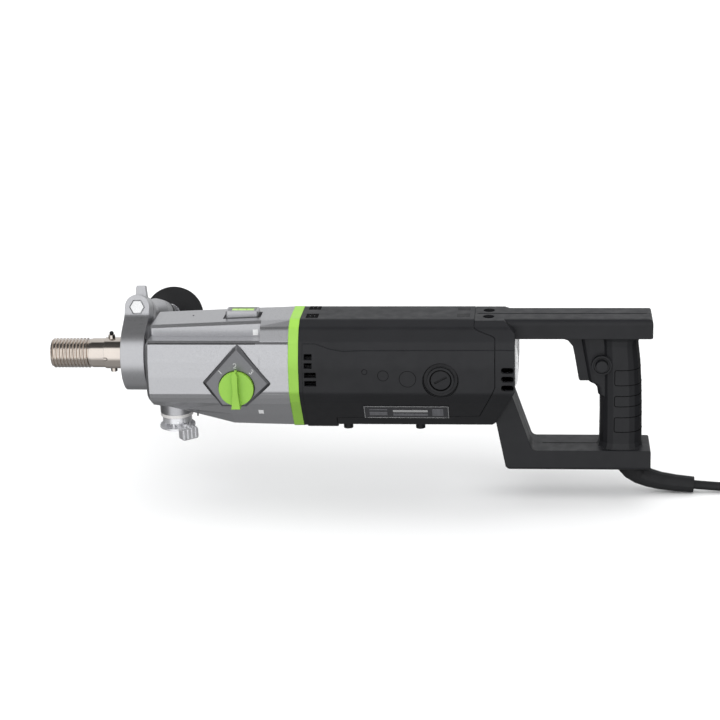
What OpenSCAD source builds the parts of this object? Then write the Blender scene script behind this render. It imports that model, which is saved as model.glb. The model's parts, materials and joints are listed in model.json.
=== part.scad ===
// Hand-held wet diamond core drill: geared three-speed machine with a D-handle,
// a swivelling side handle, a water feed and a mains cord.
// Frame: origin on the spindle axis at the thread shoulder, +X to the rear, +Z up,
// and -Y is the side with the speed selector. Millimetres.

/* [Spindle] */
// Outer diameter of the 1 1/4 inch core bit thread
thread_d = 31.75; // [20:0.05:40]
// Length of the thread in front of its shoulder
thread_len = 41; // [20:0.5:60]
// Diameter of the run-out groove behind the thread
relief_d = 29.2; // [18:0.1:38]
// Diameter of the adaptor behind the thread
adaptor_d = 31; // [20:0.1:40]
// Length of the adaptor up to the drive collar
adaptor_len = 16.3; // [8:0.1:30]
// Diameter of the drive collar
collar_d = 33.2; // [24:0.1:45]
// Rear end of the drive collar
collar_end = 58; // [50:0.5:62]
// Diameter of the spindle in the front bearing
journal_d = 30; // [20:0.5:32]
// Diameter of the spindle under the gears
gear_seat_d = 24; // [16:0.5:28]
// Diameter of the spindle in the rear bearing
tail_d = 20; // [12:0.5:24]
// Water passage along the spindle
water_bore_d = 10; // [4:0.5:14]
// Cross hole that lets the water into the spindle
water_port_d = 6; // [3:0.5:8]
// Place of the cross hole
water_port_x = 57; // [54:0.5:60]
// Reach of the two bosses on the collar
boss_r = 20.2; // [17:0.1:24]
// Width of a boss
boss_d = 9; // [5:0.5:12]
// Place of the bosses
boss_x = 23; // [20:0.5:30]
// Diameter of the ball-headed plug in the upper boss
plug_ball_d = 5.6; // [3:0.1:8]
// Width of the drive key slot
key_w = 4; // [2:0.5:8]

/* [Gears] */
// Height of the motor axis under the spindle axis
motor_drop = 12.3; // [8:0.1:16]
// Module of the first pair
pair_m = 1.2; // [0.8:0.1:2]
// Teeth of the motor pinion
pinion_z = 9; // [8:1:14]
// Teeth of the layshaft wheel
wheel_z = 37; // [30:1:45]
// Teeth of the three layshaft pinions, slow to fast
lay_z = [13, 19, 27];
// Teeth of the three spindle gears, slow to fast
out_z = [44, 38, 30];
// Front faces of the three gear pairs
pair_x = [98, 120, 141];
// Face widths of the three gear pairs
pair_w = [11, 11, 10];
// Front face of the layshaft wheel
wheel_x = 200; // [195:1:203]
// Face width of the layshaft wheel
wheel_w = 9; // [6:0.5:12]
// Diameter of the layshaft between its gears
lay_d = 16; // [12:0.5:20]
// Diameter of the layshaft journals
lay_journal_d = 10; // [8:0.5:12]

/* [Bearings and seals] */
// Outer diameter of the front spindle bearing
front_brg_d = 55; // [45:1:62]
// Width of the front spindle bearing
front_brg_w = 13; // [8:1:16]
// Front face of the front spindle bearing
front_brg_x = 70; // [68:1:74]
// Outer diameter of the rear spindle bearing
tail_brg_d = 42; // [32:1:47]
// Width of the rear spindle bearing
tail_brg_w = 12; // [8:1:14]
// Outer diameter of the layshaft needle bearing
needle_d = 14; // [13:0.5:20]
// Length of the layshaft needle bearing
needle_w = 10; // [8:1:14]
// Outer diameter of the layshaft rear bearing
lay_brg_d = 19; // [19:1:26]
// Width of the layshaft rear bearing
lay_brg_w = 6; // [5:1:10]
// Outer diameter of the two spindle seals
seal_d = 50; // [42:1:52]
// Width of a spindle seal
seal_w = 6; // [4:0.5:8]
// Outer diameter of the rotor front bearing
rotor_brg_d = 32; // [28:1:34]
// Outer diameter of the rotor rear bearing
rotor_tail_brg_d = 26; // [22:1:30]

/* [Gear housing] */
// Diameter of the clamping neck
neck_d = 60; // [50:0.5:65]
// Front end of the neck
neck_x = 41; // [40:0.5:48]
// Front face of the gear housing
gear_x0 = 67.5; // [66:0.5:70]
// Rear face of the gear housing
gear_x1 = 216.3; // [212:0.1:220]
// Height of the top plane at the rear
top_z = 44.5; // [42:0.1:48]
// Fall of the top plane per millimetre forward
top_slope = 0.044; // [0:0.002:0.06]
// Half width of the raised rail
rail_w = 26; // [22:0.5:30]
// Rear end of the raised rail
rail_x1 = 187; // [180:0.5:192]
// Height of the ledge beside the rail
ledge_z = 27; // [24:0.5:30]
// Radius of the gear chamber around the spindle
chamber_r = 34.5; // [33:0.5:36]
// Radius of the gear chamber around the layshaft wheel
chamber_lay_r = 25; // [24:0.5:26]
// Front end of the gear chamber
chamber_x0 = 86; // [84:0.5:90]

/* [Clamp and side handle] */
// Front face of the clamp ring
clamp_x0 = 39.4; // [38:0.1:44]
// Width of the clamp ring
clamp_w = 24.6; // [16:0.1:25]
// Outer radius of the clamp ring
clamp_r = 39; // [36:0.5:42]
// Turn of the clamp about the spindle axis
clamp_tilt = 20; // [0:1:90]
// Height of the clamp bolt over the spindle axis
bolt_h = 47.2; // [45:0.1:55]
// Place of the clamp bolt along the machine
lug_x = 53; // [48:0.5:54]
// Radius of the clamp lugs
lug_r = 13; // [10:0.1:14]
// Outer face of the near lug
lug_y0 = -21; // [-24:0.5:-12]
// Length over both lugs
lug_len = 34; // [24:0.5:40]
// Height over the spindle axis at which the near lug meets its web
web_z = 38.7; // [34:0.1:42]
// Gap between the lugs
split_w = 2.5; // [1:0.1:4]
// Diameter of the clamp bolt
bolt_d = 8; // [6:0.5:10]
// Width across the flats of the bolt head
bolt_af = 12.4; // [10:0.1:17]
// Height of the bolt head
bolt_head_h = 4; // [3:0.5:8]
// Depth of the hexagonal recess for the bolt head
recess_h = 3.5; // [2:0.1:5]
// Distance of the guard disc from the near lug face
guard_l = 196.5; // [150:0.5:230]
// Radius of the handle's neck
handle_neck_r = 8; // [6.5:0.1:10]
// Radius of the handle's sleeve
handle_r = 14.5; // [12:0.1:17]
// Length of the flare from the neck to the sleeve
flare_len = 20; // [12:0.5:30]
// Length of the sleeve in front of the rubber band
sleeve_len = 26; // [16:0.5:32]
// Width of the rubber band
band_len = 12; // [6:0.5:18]
// Length of the sleeve behind the rubber band
tail_sleeve_len = 20; // [12:0.5:26]
// Radius of the sleeve behind the rubber band
tail_sleeve_r = 12.8; // [10:0.1:14]
// Length of the ferrule in front of its flange
ferrule_len = 16; // [8:0.5:22]
// Radius of the ferrule in front of its flange
ferrule_r = 9; // [7:0.1:12]
// Width of the ferrule's flange
flange_len = 8; // [4:0.5:12]
// Radius of the ferrule's flange
flange_r = 13; // [10:0.1:16]
// Distance of the flange from the middle of the guard disc
flange_gap = 20.5; // [12:0.5:26]
// Radius of the guard disc
guard_r = 34; // [25:0.5:40]
// Thickness of the guard disc
guard_t = 5; // [3:0.5:8]
// Length of the side handle grip behind the guard
side_grip_len = 118; // [90:1:140]
// Radius of the side handle grip
side_grip_r = 16; // [12:0.5:20]

/* [Level and selector] */
// Centre of the spirit level along the housing
level_x = 164.4; // [150:0.1:170]
// Length of the pocket for the level
level_len = 39.5; // [30:0.5:44]
// Centre of the level across the housing
level_y = -3; // [-12:0.5:5]
// Width of the pocket for the level
level_w = 21; // [18:0.5:24]
// Space between the level frame and the wall of its pocket
level_gap = 2.5; // [0.5:0.1:3]
// Height of the level frame over the top plane
level_h = 7; // [3:0.5:8]
// Length of the vial window
vial_len = 28.8; // [16:0.1:30]
// Diameter of the vial
vial_d = 10; // [6:0.5:11]
// Place of the selector knob along the housing
knob_x = 162.3; // [155:0.1:170]
// Height of the selector knob
knob_z = -20.6; // [-25:0.1:-15]
// Radius of the selector knob
knob_r = 18; // [14:0.5:20]
// Thickness of the knob disc
knob_t = 6; // [4:0.5:8]
// Height of the knob's grip bar
knob_bar_h = 7; // [4:0.5:10]
// Thickness of the selector plate
plate_t = 7; // [5:0.1:9]
// Width of the selector plate's bevel
bevel_w = 2.6; // [1:0.1:3]
// Depth of the selector plate's bevel
bevel_h = 2.4; // [1:0.1:3]
// Travel of the shift fork to each side
shift_travel = 5; // [3:0.5:6]

/* [Water valve] */
// Place of the valve boss along the housing
valve_x = 87.6; // [84:0.1:90]
// Diameter of the valve boss
valve_boss_d = 34.8; // [28:0.1:38]
// Lower end of the valve boss
valve_boss_z = -64.5; // [-68:0.5:-62]
// Diameter of the sealing ring
valve_ring_d = 34.4; // [28:0.1:36]
// Thickness of the sealing ring
valve_ring_t = 3.6; // [2:0.1:4]
// Diameter of the valve body
valve_d = 31; // [24:0.5:33]
// Height of the valve body
valve_h = 6.9; // [4:0.1:8]
// Diameter of the neck under the valve body
valve_neck_d = 20; // [14:0.5:24]
// Diameter of the flange at the lower end of the valve
valve_flange_d = 37.4; // [30:0.1:37.6]
// Thickness of the flange at the lower end of the valve
valve_flange_t = 2; // [1:0.1:3]
// Lower end of the valve
valve_end_z = -81.4; // [-86:0.1:-80]
// Bore of the water inlet
inlet_d = 7; // [5:0.5:9]
// Direction of the lever pivot, turned from +X
lever_turn = -52; // [-90:1:90]
// Reach of the lever pivot from the valve axis
lever_reach = 19.2; // [19:0.1:22]
// Height of the lever axis
lever_z = -78.4; // [-80:0.1:-77]
// Width of the lever
lever_w = 18.5; // [12:0.5:22]
// Thickness of the lever
lever_t = 10; // [6:0.5:12]
// Length of the lever
lever_len = 12.5; // [10:0.5:20]
// Height of the lever's upper face over its axis
lever_top = 1.9; // [1:0.1:4]

/* [Motor housing] */
// Rear face of the green band
motor_x0 = 226.7; // [224:0.1:230]
// Wall of the plastic housings
wall = 3.5; // [2:0.1:5]
// Half width of the body
body_w = 52.5; // [48:0.1:56]
// Bottom of the body
body_z0 = -73.3; // [-76:0.1:-70]
// Half width of the flat top
flat_w = 23; // [20:0.5:26]
// Bore of the motor tube
tube_r = 41; // [38:0.5:42]
// Wall of the motor tube
tube_wall = 3; // [2:0.5:4]
// Front end of the motor tube's bore
tube_x0 = 232; // [230:0.5:236]
// Rear end of the motor tube
tube_x1 = 400; // [396:0.5:404]
// Proud height of the side panel
panel_t = 1.2; // [0.4:0.1:1.5]
// Radius of the recess around a brush cap
brush_recess_r = 18.5; // [16:0.5:20]
// Radius of the boss around a brush cap
brush_boss_r = 13.8; // [12:0.1:15]
// Radius of a brush cap
brush_cap_r = 10.2; // [8:0.1:12]
// Diameter of a rubber foot
foot_d = 10; // [8:0.5:14]
// Lower end of the rubber feet
foot_z = -82.5; // [-86:0.5:-78]
// Places of the rubber feet
foot_x = [271, 347.6];

/* [Motor] */
// Front end of the stator and rotor cores
core_x0 = 268; // [262:0.5:275]
// Length of the cores
core_len = 70; // [50:1:80]
// Radius of the rotor core
rotor_r = 24; // [20:0.5:26]
// Air gap between rotor and stator
air_gap = 0.6; // [0.4:0.1:1]
// Diameter of the rotor shaft
rotor_shaft_d = 12; // [10:0.5:14]
// Radius of the commutator
commutator_r = 15; // [12:0.5:17]
// Diameter of the rotor shaft in its front bearing
rotor_front_d = 15; // [12:0.5:17]
// Distance of the brush axis behind the cores
brush_gap = 34.4; // [30:0.1:40]
// Length of the commutator
commutator_len = 23; // [16:0.5:26]
// Diameter of the rotor shaft in its rear bearing
rotor_tail_d = 10; // [8:0.5:12]
// Number of commutator bars
bar_n = 24; // [16:2:36]
// Number of fan blades
blade_n = 11; // [7:1:17]
// Outer radius of the fan
fan_r = 38; // [30:0.5:39]

/* [D-handle] */
// Rear face of the end cover
cover_x1 = 447.9; // [444:0.1:452]
// Half width of the handle frame
frame_w = 24; // [20:0.5:28]
// Rear end of the handle frame
frame_x1 = 588.3; // [580:0.1:600]
// Step from the top of the motor housing down to the top of the handle
handle_drop = 1; // [0.2:0.1:2]
// Underside of the top bar
bar_z0 = 23.2; // [20:0.1:28]
// Top of the lower bar
low_bar_z1 = -99; // [-104:0.5:-94]
// Underside of the lower bar
low_bar_z0 = -120.8; // [-124:0.1:-114]
// Half width of the grip
grip_w = 19.5; // [15:0.5:22]
// Half width of the housing around the trigger
front_w = 14; // [12:0.5:17]
// Half width of the trigger
trigger_w = 9; // [6:0.5:11]
// Travel of the trigger
trigger_travel = 6; // [3:0.5:8]
// Front face of the switch inside the grip
switch_x0 = 541; // [538:0.5:544]
// Length of the switch along the machine
switch_len = 29; // [20:0.5:30]
// Half width of the switch
switch_w = 12; // [8:0.5:12.5]
// Place of the lock button along the handle
lock_x = 536.8; // [530:0.1:542]
// Height of the lock button
lock_z = -7; // [-12:0.5:0]
// Radius of the lock button
lock_r = 6; // [4:0.1:8]
// Radius of the collar around the lock button
lock_ring_r = 10.4; // [8:0.1:12]
// Travel of the lock button
lock_travel = 2.5; // [1:0.5:4]

/* [Vents] */
// Length of a slot on top of the motor housing
top_slot_len = 12.5; // [6:0.1:16]
// Width of a slot on top of the motor housing
top_slot_w = 4.4; // [2:0.1:5]
// Places of the top slots across the housing
top_slot_y = [-16, -7.5, 12.8, 21];
// Height of a vent on the side of the end cover
cover_vent_h = 6; // [3:0.1:7]
// Heights of the middles of the vents on the end cover
cover_vent_z = [-1.2, -10.5, -19.9];
// Bulge of the rear grille behind the end cover
grille_t = 3.6; // [1:0.1:5]
// Half width of the rear grille
grille_w = 38; // [30:0.5:40]

/* [Cord] */
// Diameter of the mains cord
cord_d = 9.5; // [7:0.1:12]
// Height of the surface that the loose cord lies on
floor_z = -154; // [-160:0.5:-150]
// Turns of the coil in each of its four layers
layer_turns = 2.375; // [1.5:0.125:3]
// Outer radius of the coil's centre line
coil_r = 66; // [60:0.5:80]
// Space between neighbouring turns
turn_gap = 0.9; // [0.6:0.1:2]
// Place of the coil's centre along the machine
coil_x = 775; // [760:1:820]
// Radius of the plug's body
plug_r = 18.5; // [14:0.5:22]

/* [Fits] */
// Radial clearance of running fits
run_fit = 0.05; // [0.01:0.01:0.1]
// Clearance between fixed pieces that meet in a visible joint line
seam = 0.3; // [0.1:0.05:0.6]
// Width of the groove along the joint of the motor housing and the end cover
groove_w = 0.5; // [0.3:0.1:1]
// Depth of that groove
groove_h = 0.8; // [0.4:0.1:1.2]
// Clearance around pieces that slide or press
slide_fit = 0.3; // [0.1:0.05:0.6]

/* [Hidden] */
$fn = 48;
eps = 0.01;
far = 80;
motor_z = -motor_drop;
first_a = pair_m * (pinion_z + wheel_z) / 2;
lay_axis_z = motor_z - first_a;
out_m = -2 * lay_axis_z / (lay_z[0] + out_z[0]);
addendum = 0.8;
dedendum = 1.05;
root_share = 0.6;
tip_share = 0.24;
thread_start_r = 2;
bearing_x1 = front_brg_x + front_brg_w;
front_seal_x = neck_x + 1.5;
rear_seal_x = bearing_x1 - front_brg_w - seal_w - 1;
side_w = body_w - 1.3;
plate_y = -side_w - 1.8;
plate_y0 = plate_y + plate_t;
knob_seat_y = plate_y + 2;
brush_x = core_x0 + core_len + brush_gap;
rotor_tail_x = brush_x + 12.6;
rotor_tail_w = 8;
tail_x1 = 190;
tail_x0 = tail_x1 - tail_brg_w;
plate_x0 = gear_x1 - 4;
plate_x1 = motor_x0 - 4;
spindle_x1 = tail_x1 + 1;
fork_x0 = knob_x - 4;
fork_w = 8;
crank_r = shift_travel / sin(45);
crank_pin_r = 2.5;
handle_z = top_z - handle_drop;
tongue_x0 = 262.4;
tongue_z = -70;
shell_wall = 3;
screw_x = 420.7;
screw_y = 11;
screw_seat_z = 37.5;
flange_y1 = guard_l - flange_gap;
flange_y0 = flange_y1 - flange_len;
ferrule_y = flange_y0 - ferrule_len;
tail_sleeve_y = ferrule_y - tail_sleeve_len;
band_y = tail_sleeve_y - band_len;
sleeve_y0 = band_y - sleeve_len;
flare_y1 = sleeve_y0 - 2;
flare_y0 = flare_y1 - flare_len;
core_r = 6;
core_end = guard_l + 20;

green = [0.62, 0.86, 0.33];
silver = [0.56, 0.56, 0.58];
steel = [0.72, 0.69, 0.66];
black = [0.16, 0.16, 0.17];
rubber_black = [0.09, 0.09, 0.10];
copper = [0.72, 0.42, 0.24];
brass = [0.78, 0.63, 0.34];

// Plane helpers
function unit(v) = v / norm(v);
function left(u) = [-u[1], u[0]];
function pick(p) = [for (q = p) [q[0], q[1]]];
function flip(h) = [for (i = [len(h) - 1 : -1 : 0]) concat([-h[i][0]], [for (k = [1 : len(h[i]) - 1]) h[i][k]])];
function both(h) = concat(h, flip(h));

// Moves every edge of a clockwise outline outward by d; a point may carry a corner radius
function grow(p, d) =
    let (n = len(p))
    [for (i = [0 : n - 1])
        let (b = pick([p[i]])[0],
             nu = left(unit(b - pick([p[(i + n - 1) % n]])[0])),
             nv = left(unit(pick([p[(i + 1) % n]])[0] - b)),
             q = b + d * (nu + nv) / (1 + nu * nv))
        [q[0], q[1], max(p[i][2] + d, 0.5)]];

// Points of a corner b between a and c, rounded with radius r in n steps
function corner(a, b, c, r, n) =
    let (u = unit(a - b), v = unit(c - b), half = acos(u * v) / 2,
         m = b + unit(u + v) * r / sin(half),
         s = b + u * r / tan(half) - m, e = b + v * r / tan(half) - m, w = 180 - 2 * half)
    [for (k = [0 : n]) m + (s * sin(w * (1 - k / n)) + e * sin(w * k / n)) / sin(w)];

// Outline whose points [x, y, radius] become round corners
function rounded(p, n = 4) =
    let (m = len(p))
    [for (i = [0 : m - 1])
        each p[i][2] > 0
            ? corner(pick([p[(i + m - 1) % m]])[0], pick([p[i]])[0], pick([p[(i + 1) % m]])[0], p[i][2], n)
            : pick([p[i]])];

// Section of the body across X: half outline from the top, clockwise seen from the rear
body_half = [[flat_w, top_z, 8], [35, 38.5, 10], [44, 25.5, 14], [52, 4, 30],
             [body_w, -26, 8], [46.5, -37.5, 8], [21, body_z0, 6]];
body_outline = both(body_half);

// Side view of the joint line between motor housing and handle shells
seam_line = [[406.2, 38.4], [409, 36.5], [426.2, 30.5], [427.5, 29], [427.5, -19.4], [410.8, -57.1],
             [tongue_x0, -60.1]];
motor_side = concat([[motor_x0, 60], [406.2, 60]], seam_line, [[tongue_x0, -far], [motor_x0, -far]]);
shell_side = concat([[406.2, handle_z]], seam_line, [[tongue_x0, tongue_z], [424.3, tongue_z], [428, -66.7],
                    [cover_x1, -24], [cover_x1, 33.3], [438.5, 41.9], [436.5, handle_z]]);

// Outline of the D-handle's leg and lower bar, seen from the side
leg_side = [[426, -58, 0], [437.6, -117, 0], [441.5, low_bar_z0, 0], [frame_x1, low_bar_z0, 2],
            [frame_x1, low_bar_z1, 2], [465.5, low_bar_z1, 6], [444.8, -38.9, 0], [cover_x1 - 4, -20, 0]];
bar_side = [[430, handle_z, 0], [430, bar_z0, 0], [frame_x1, bar_z0, 2], [frame_x1, handle_z, 4]];
// Grip sections along Z: [z, front, rear, half width]
grip_rows = [[low_bar_z1 - 2, 531.5, 583.5, 22.5], [-97.5, 534, 580.6, 21], [-93, 535.2, 579.8, grip_w],
             [-60, 535.4, 579.4, grip_w], [-30, 535, 578.6, grip_w], [-5, 534.6, 577, grip_w],
             [13, 534.4, 574.8, grip_w], [19, 533.8, 575.6, 20], [bar_z0 + 1, 532, 579, 22]];
// Sections of the narrower housing around the trigger, in the same form
front_rows = [[-42, 534.6, 556, front_w], [-40.6, 533.2, 556, front_w], [-33.9, 532.3, 556, front_w],
              [-29.7, 529.1, 556, front_w], [-27.5, 523.9, 556, front_w], [-23.9, 522.8, 556, front_w],
              [20.2, 514.6, 556, front_w], [bar_z0 + 1, 513, 556, front_w + 2]];
trigger_z0 = -26.5;
trigger_x1 = 531;
trigger_side = [[494, bar_z0 - slide_fit], [496.6, 19], [502.1, 16.9], [506.9, 11.1], [509, 1.2], [513.4, -24.7],
                [514.5, trigger_z0], [trigger_x1, trigger_z0], [trigger_x1, bar_z0 - slide_fit]];
plate_side = [[163.8, 24.7, 1.5], [197.5, -16.2, 1.5], [171.4, -41.4, 1.5], [145.6, -41.4, 1.5],
              [127.6, -15.3, 1.5]];

// Extrusions along the two horizontal axes
module along_x(x0, x1) {
    translate([x0, 0, 0])
        rotate([90, 0, 90])
            linear_extrude(height = x1 - x0)
                children();
}

module along_y(y0, y1) {
    translate([0, y1, 0])
        rotate([90, 0, 0])
            linear_extrude(height = y1 - y0)
                children();
}

module rod_x(x0, x1, d) {
    translate([x0, 0, 0])
        rotate([0, 90, 0])
            cylinder(h = x1 - x0, d = d);
}

module rod_y(y0, y1, d) {
    translate([0, y1, 0])
        rotate([90, 0, 0])
            cylinder(h = y1 - y0, d = d);
}

module ring_x(x0, x1, d_out, d_in) {
    difference() {
        rod_x(x0, x1, d_out);
        rod_x(x0 - 1, x1 + 1, d_in);
    }
}

// Solid through outlines of equal length, one at each place along an axis
function loft_faces(rows, n) = concat(
    [[for (j = [n - 1 : -1 : 0]) j]],
    [for (i = [0 : rows - 2]) for (j = [0 : n - 1]) let (k = (j + 1) % n)
        each [[i * n + j, i * n + k, (i + 1) * n + k], [i * n + j, (i + 1) * n + k, (i + 1) * n + j]]],
    [[for (j = [0 : n - 1]) (rows - 1) * n + j]]);

module loft_y(ys, outlines) {
    points = [for (i = [0 : len(ys) - 1]) for (q = outlines[i]) [q[0], ys[i], q[1]]];
    polyhedron(points = points, faces = loft_faces(len(ys), len(outlines[0])));
}

module loft_x(xs, outlines) {
    points = [for (i = [0 : len(xs) - 1]) for (q = outlines[i]) [xs[i], q[0], q[1]]];
    polyhedron(points = points, faces = loft_faces(len(xs), len(outlines[0])));
}

// Round tube along a route that never stands upright; radii has one value per point
function tube_points(route, radii, sides) =
    let (last = len(route) - 1)
    [for (i = [0 : last])
        let (t = unit(route[min(i + 1, last)] - route[max(i - 1, 0)]),
             s = unit(cross(t, [0, 0, 1])), u = cross(s, t))
        for (j = [0 : sides - 1])
            let (a = 360 * j / sides)
            route[i] + radii[i] * (s * cos(a) + u * sin(a))];

module tube(route, radii, sides) {
    polyhedron(points = tube_points(route, radii, sides), faces = loft_faces(len(route), sides));
}

// Gear teeth around the X axis; one tooth points along angle turn, measured from -Z
function gear_outline(z, m, turn) =
    let (r_tip = m * (z / 2 + addendum), r_root = m * (z / 2 - dedendum), step = 360 / z)
    [for (i = [0 : z - 1]) let (a = turn - 90 + i * step)
        each [for (q = [[r_root, -root_share], [r_tip, -tip_share], [r_tip, tip_share], [r_root, root_share]])
            q[0] * [cos(a + q[1] * step / 2), sin(a + q[1] * step / 2)]]];

module gear_x(x0, w, z, m, turn) {
    along_x(x0, x0 + w)
        polygon(gear_outline(z, m, turn));
}

module at_lay() {
    translate([0, 0, lay_axis_z])
        children();
}

module at_motor() {
    translate([0, 0, motor_z])
        children();
}

module at_knob() {
    translate([knob_x, 0, knob_z])
        children();
}

// Spindle line
module spindle() {
    color(steel) difference() {
        union() {
            rod_x(-thread_len, 0, thread_d);
            rod_x(0, 2, relief_d);
            rod_x(2, adaptor_len, adaptor_d);
            rod_x(adaptor_len, collar_end, collar_d);
            rod_x(collar_end, 96, journal_d);
            rod_x(96, tail_x0 - 2, gear_seat_d);
            rod_x(tail_x0 - 2, spindle_x1, tail_d);
            for (side = [0, 180])
                rotate([side, 0, 0])
                    translate([boss_x, 0, 0])
                        cylinder(h = boss_r, d1 = boss_d, d2 = boss_d - 2);
        }
        rod_x(-thread_len - 1, water_port_x + water_port_d, water_bore_d);
        translate([water_port_x, 0, -collar_d])
            cylinder(h = 2 * collar_d, d = water_port_d);
        difference() {
            rod_x(-thread_len - 1, -thread_len + thread_start_r, thread_d + 2);
            translate([-thread_len - 0.5, 0, 0])
                rotate([0, 90, 0])
                    cylinder(h = thread_start_r + 0.5, d1 = thread_d - 4, d2 = thread_d);
        }
        translate([boss_x, 0, boss_r - 2])
            cylinder(h = 4, d = plug_ball_d - 2);
        key_slot();
    }
}

module key_slot() {
    along_y(-collar_d, -collar_d / 2 + 1.2)
        difference() {
            union() {
                translate([18.5, -2])
                    circle(d = key_w);
                translate([adaptor_len - 1, -2 - key_w / 2])
                    square([2.2 + eps, key_w]);
            }
            translate([18.5, -2])
                circle(d = key_w - 1.6);
            translate([adaptor_len - 2, -2 - key_w / 2 + 0.8])
                square([4.2, key_w - 1.6]);
        }
}

module spindle_plug() {
    color(rubber_black) {
        translate([boss_x, 0, boss_r - 2])
            cylinder(h = 3, d = plug_ball_d - 2);
        translate([boss_x, 0, boss_r + 1.5])
            sphere(d = plug_ball_d - 1);
    }
}

module out_gear(i) {
    difference() {
        gear_x(pair_x[i], pair_w[i], out_z[i], out_m, 0);
        rod_x(pair_x[i] - 1, pair_x[i] + pair_w[i] + 1, gear_seat_d + (i == 1 ? 0 : 2 * run_fit));
        for (k = [0 : 5])
            rotate([60 * k, 0, 0])
                translate([0, 0, out_m * out_z[i] / 4 + gear_seat_d / 4])
                    rod_x(pair_x[i] - 1, pair_x[i] + pair_w[i] + 1, (out_m * out_z[i] - gear_seat_d) / 5);
    }
}

module low_gear() {
    color(steel) out_gear(0);
}

module mid_gear() {
    color(steel) out_gear(1);
}

module high_gear() {
    color(steel) out_gear(2);
}

module layshaft() {
    color(steel) at_lay() {
        rod_x(chamber_x0 + 1, pair_x[0] - 1, lay_journal_d);
        rod_x(pair_x[0] - 1, wheel_x + wheel_w + 1, lay_d - 2);
        rod_x(pair_x[0] + pair_w[0], wheel_x - 3, lay_d);
        rod_x(wheel_x + wheel_w + 1, plate_x0 + lay_brg_w, lay_journal_d);
        for (i = [0 : 2])
            gear_x(pair_x[i] - 0.5, pair_w[i] + 1, lay_z[i], out_m, 180 + 180 / lay_z[i]);
    }
}

module lay_wheel() {
    color(steel) at_lay() difference() {
        gear_x(wheel_x, wheel_w, wheel_z, pair_m, 180 + 180 / wheel_z);
        rod_x(wheel_x - 1, wheel_x + wheel_w + 1, lay_d - 2);
    }
}

module front_bearing() {
    color(silver) ring_x(front_brg_x, bearing_x1, front_brg_d, journal_d + 2 * run_fit);
}

module tail_bearing() {
    color(silver) ring_x(tail_x0, tail_x1, tail_brg_d, tail_d + 2 * run_fit);
}

module seal(x0, shaft) {
    difference() {
        rod_x(x0, x0 + seal_w, seal_d);
        rod_x(x0 - 1, x0 + seal_w + 1, shaft + 2 * run_fit);
        translate([x0 + 1.5, 0, 0])
            difference() {
                rod_x(0, seal_w, seal_d - 5);
                rod_x(-1, seal_w + 1, shaft + 5);
            }
    }
}

module front_seal() {
    color(rubber_black) seal(front_seal_x, collar_d);
}

module rear_seal() {
    color(rubber_black) seal(rear_seal_x, journal_d);
}

module needle_bearing() {
    color(silver) at_lay() ring_x(chamber_x0 - 0.5, chamber_x0 + needle_w - 0.5, needle_d,
                                  lay_journal_d + 2 * run_fit);
}

module lay_bearing() {
    color(silver) at_lay() ring_x(plate_x0 + eps, plate_x0 + lay_brg_w, lay_brg_d, lay_journal_d + 2 * run_fit);
}

module rotor_bearing() {
    color(silver) at_motor() ring_x(plate_x0 + 1, plate_x1, rotor_brg_d, rotor_front_d + 2 * run_fit);
}

module rotor_tail_bearing() {
    color(silver) at_motor() ring_x(rotor_tail_x, rotor_tail_x + rotor_tail_w, rotor_tail_brg_d,
                                    rotor_tail_d + 2 * run_fit);
}

// Gear housing
function low_front(b) = [[46, -38 - b / 10, 0], [33.5, -46 - b * 0.45, 0], [21, -48.5 - b, 0], [14, -49 - b, 0]];
function gear_half(b) = concat([[14, ledge_z, 0], [42, ledge_z, 0], [45.5, 24, 0], [50, 6, 0],
                                [side_w, -10, 0], [side_w, -28, 0], [49.5, -33, 0]], low_front(b));
gear_rows = [[70.5, 0], [80, 3.2], [105, 9.2], [153, 21.9], [rail_x1, 22.8], [gear_x1, 23.4]];
nose_half = [[14, 24], [40, 22.6], [43, 20], [47, 5], [48, -10], [48, -26], [46.5, -31], [43, -35.5],
             [30.5, -43], [20, -45], [14, -45.5]];

module gear_body() {
    loft_x(concat([gear_x0], [for (r = gear_rows) r[0]]),
           concat([both(nose_half)], [for (r = gear_rows) pick(both(gear_half(r[1])))]));
    rail_half = [[rail_w - 3, 0], [rail_w, -3], [rail_w, -25]];
    loft_x([gear_x0 + 0.7, gear_x0 + 4, rail_x1],
           [for (r = [[gear_x0 + 0.7, -3], [gear_x0 + 4, 0], [rail_x1, 0]])
               both([for (q = rail_half) [q[0] + r[1], max(q[1] + top_at(r[0]) + r[1], ledge_z - 8)]])]);
    loft_x([rail_x1 - 0.5, gear_x1], [for (x = [rail_x1, gear_x1])
        rounded(both([for (i = [0 : len(body_half) - 1])
            [body_half[i][0] - (i == 0 ? 0 : 0.4), body_half[i][1] - (i == 0 ? top_z - top_at(x) : 0)
             + (i == len(body_half) - 1 ? 1 : 0), body_half[i][2]]]))]);
    rod_x(neck_x, gear_x0 + 5, neck_d);
    translate([valve_x, 0, valve_boss_z])
        cylinder(h = -valve_boss_z - 40, d = valve_boss_d);
}

function top_at(x) = top_z - top_slope * (gear_x1 - x);

chamber = both([[20, 24, 0], [38, 20, 0], [44, 4, 0], [45, -27, 0], [40, -34, 0], [26, -41, 0]]);

module chamber_outline() {
    polygon(pick(chamber));
}

// Filling of the chamber's rear end, used by the plates that seat in it
module chamber_fill(x0, x1, clear) {
    along_x(x0, x1)
        polygon(pick(grow(chamber, -clear)));
    rod_x(x0, x1, 2 * (chamber_r - clear));
    at_lay()
        rod_x(x0, x1, 2 * (chamber_lay_r - clear));
}

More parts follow.
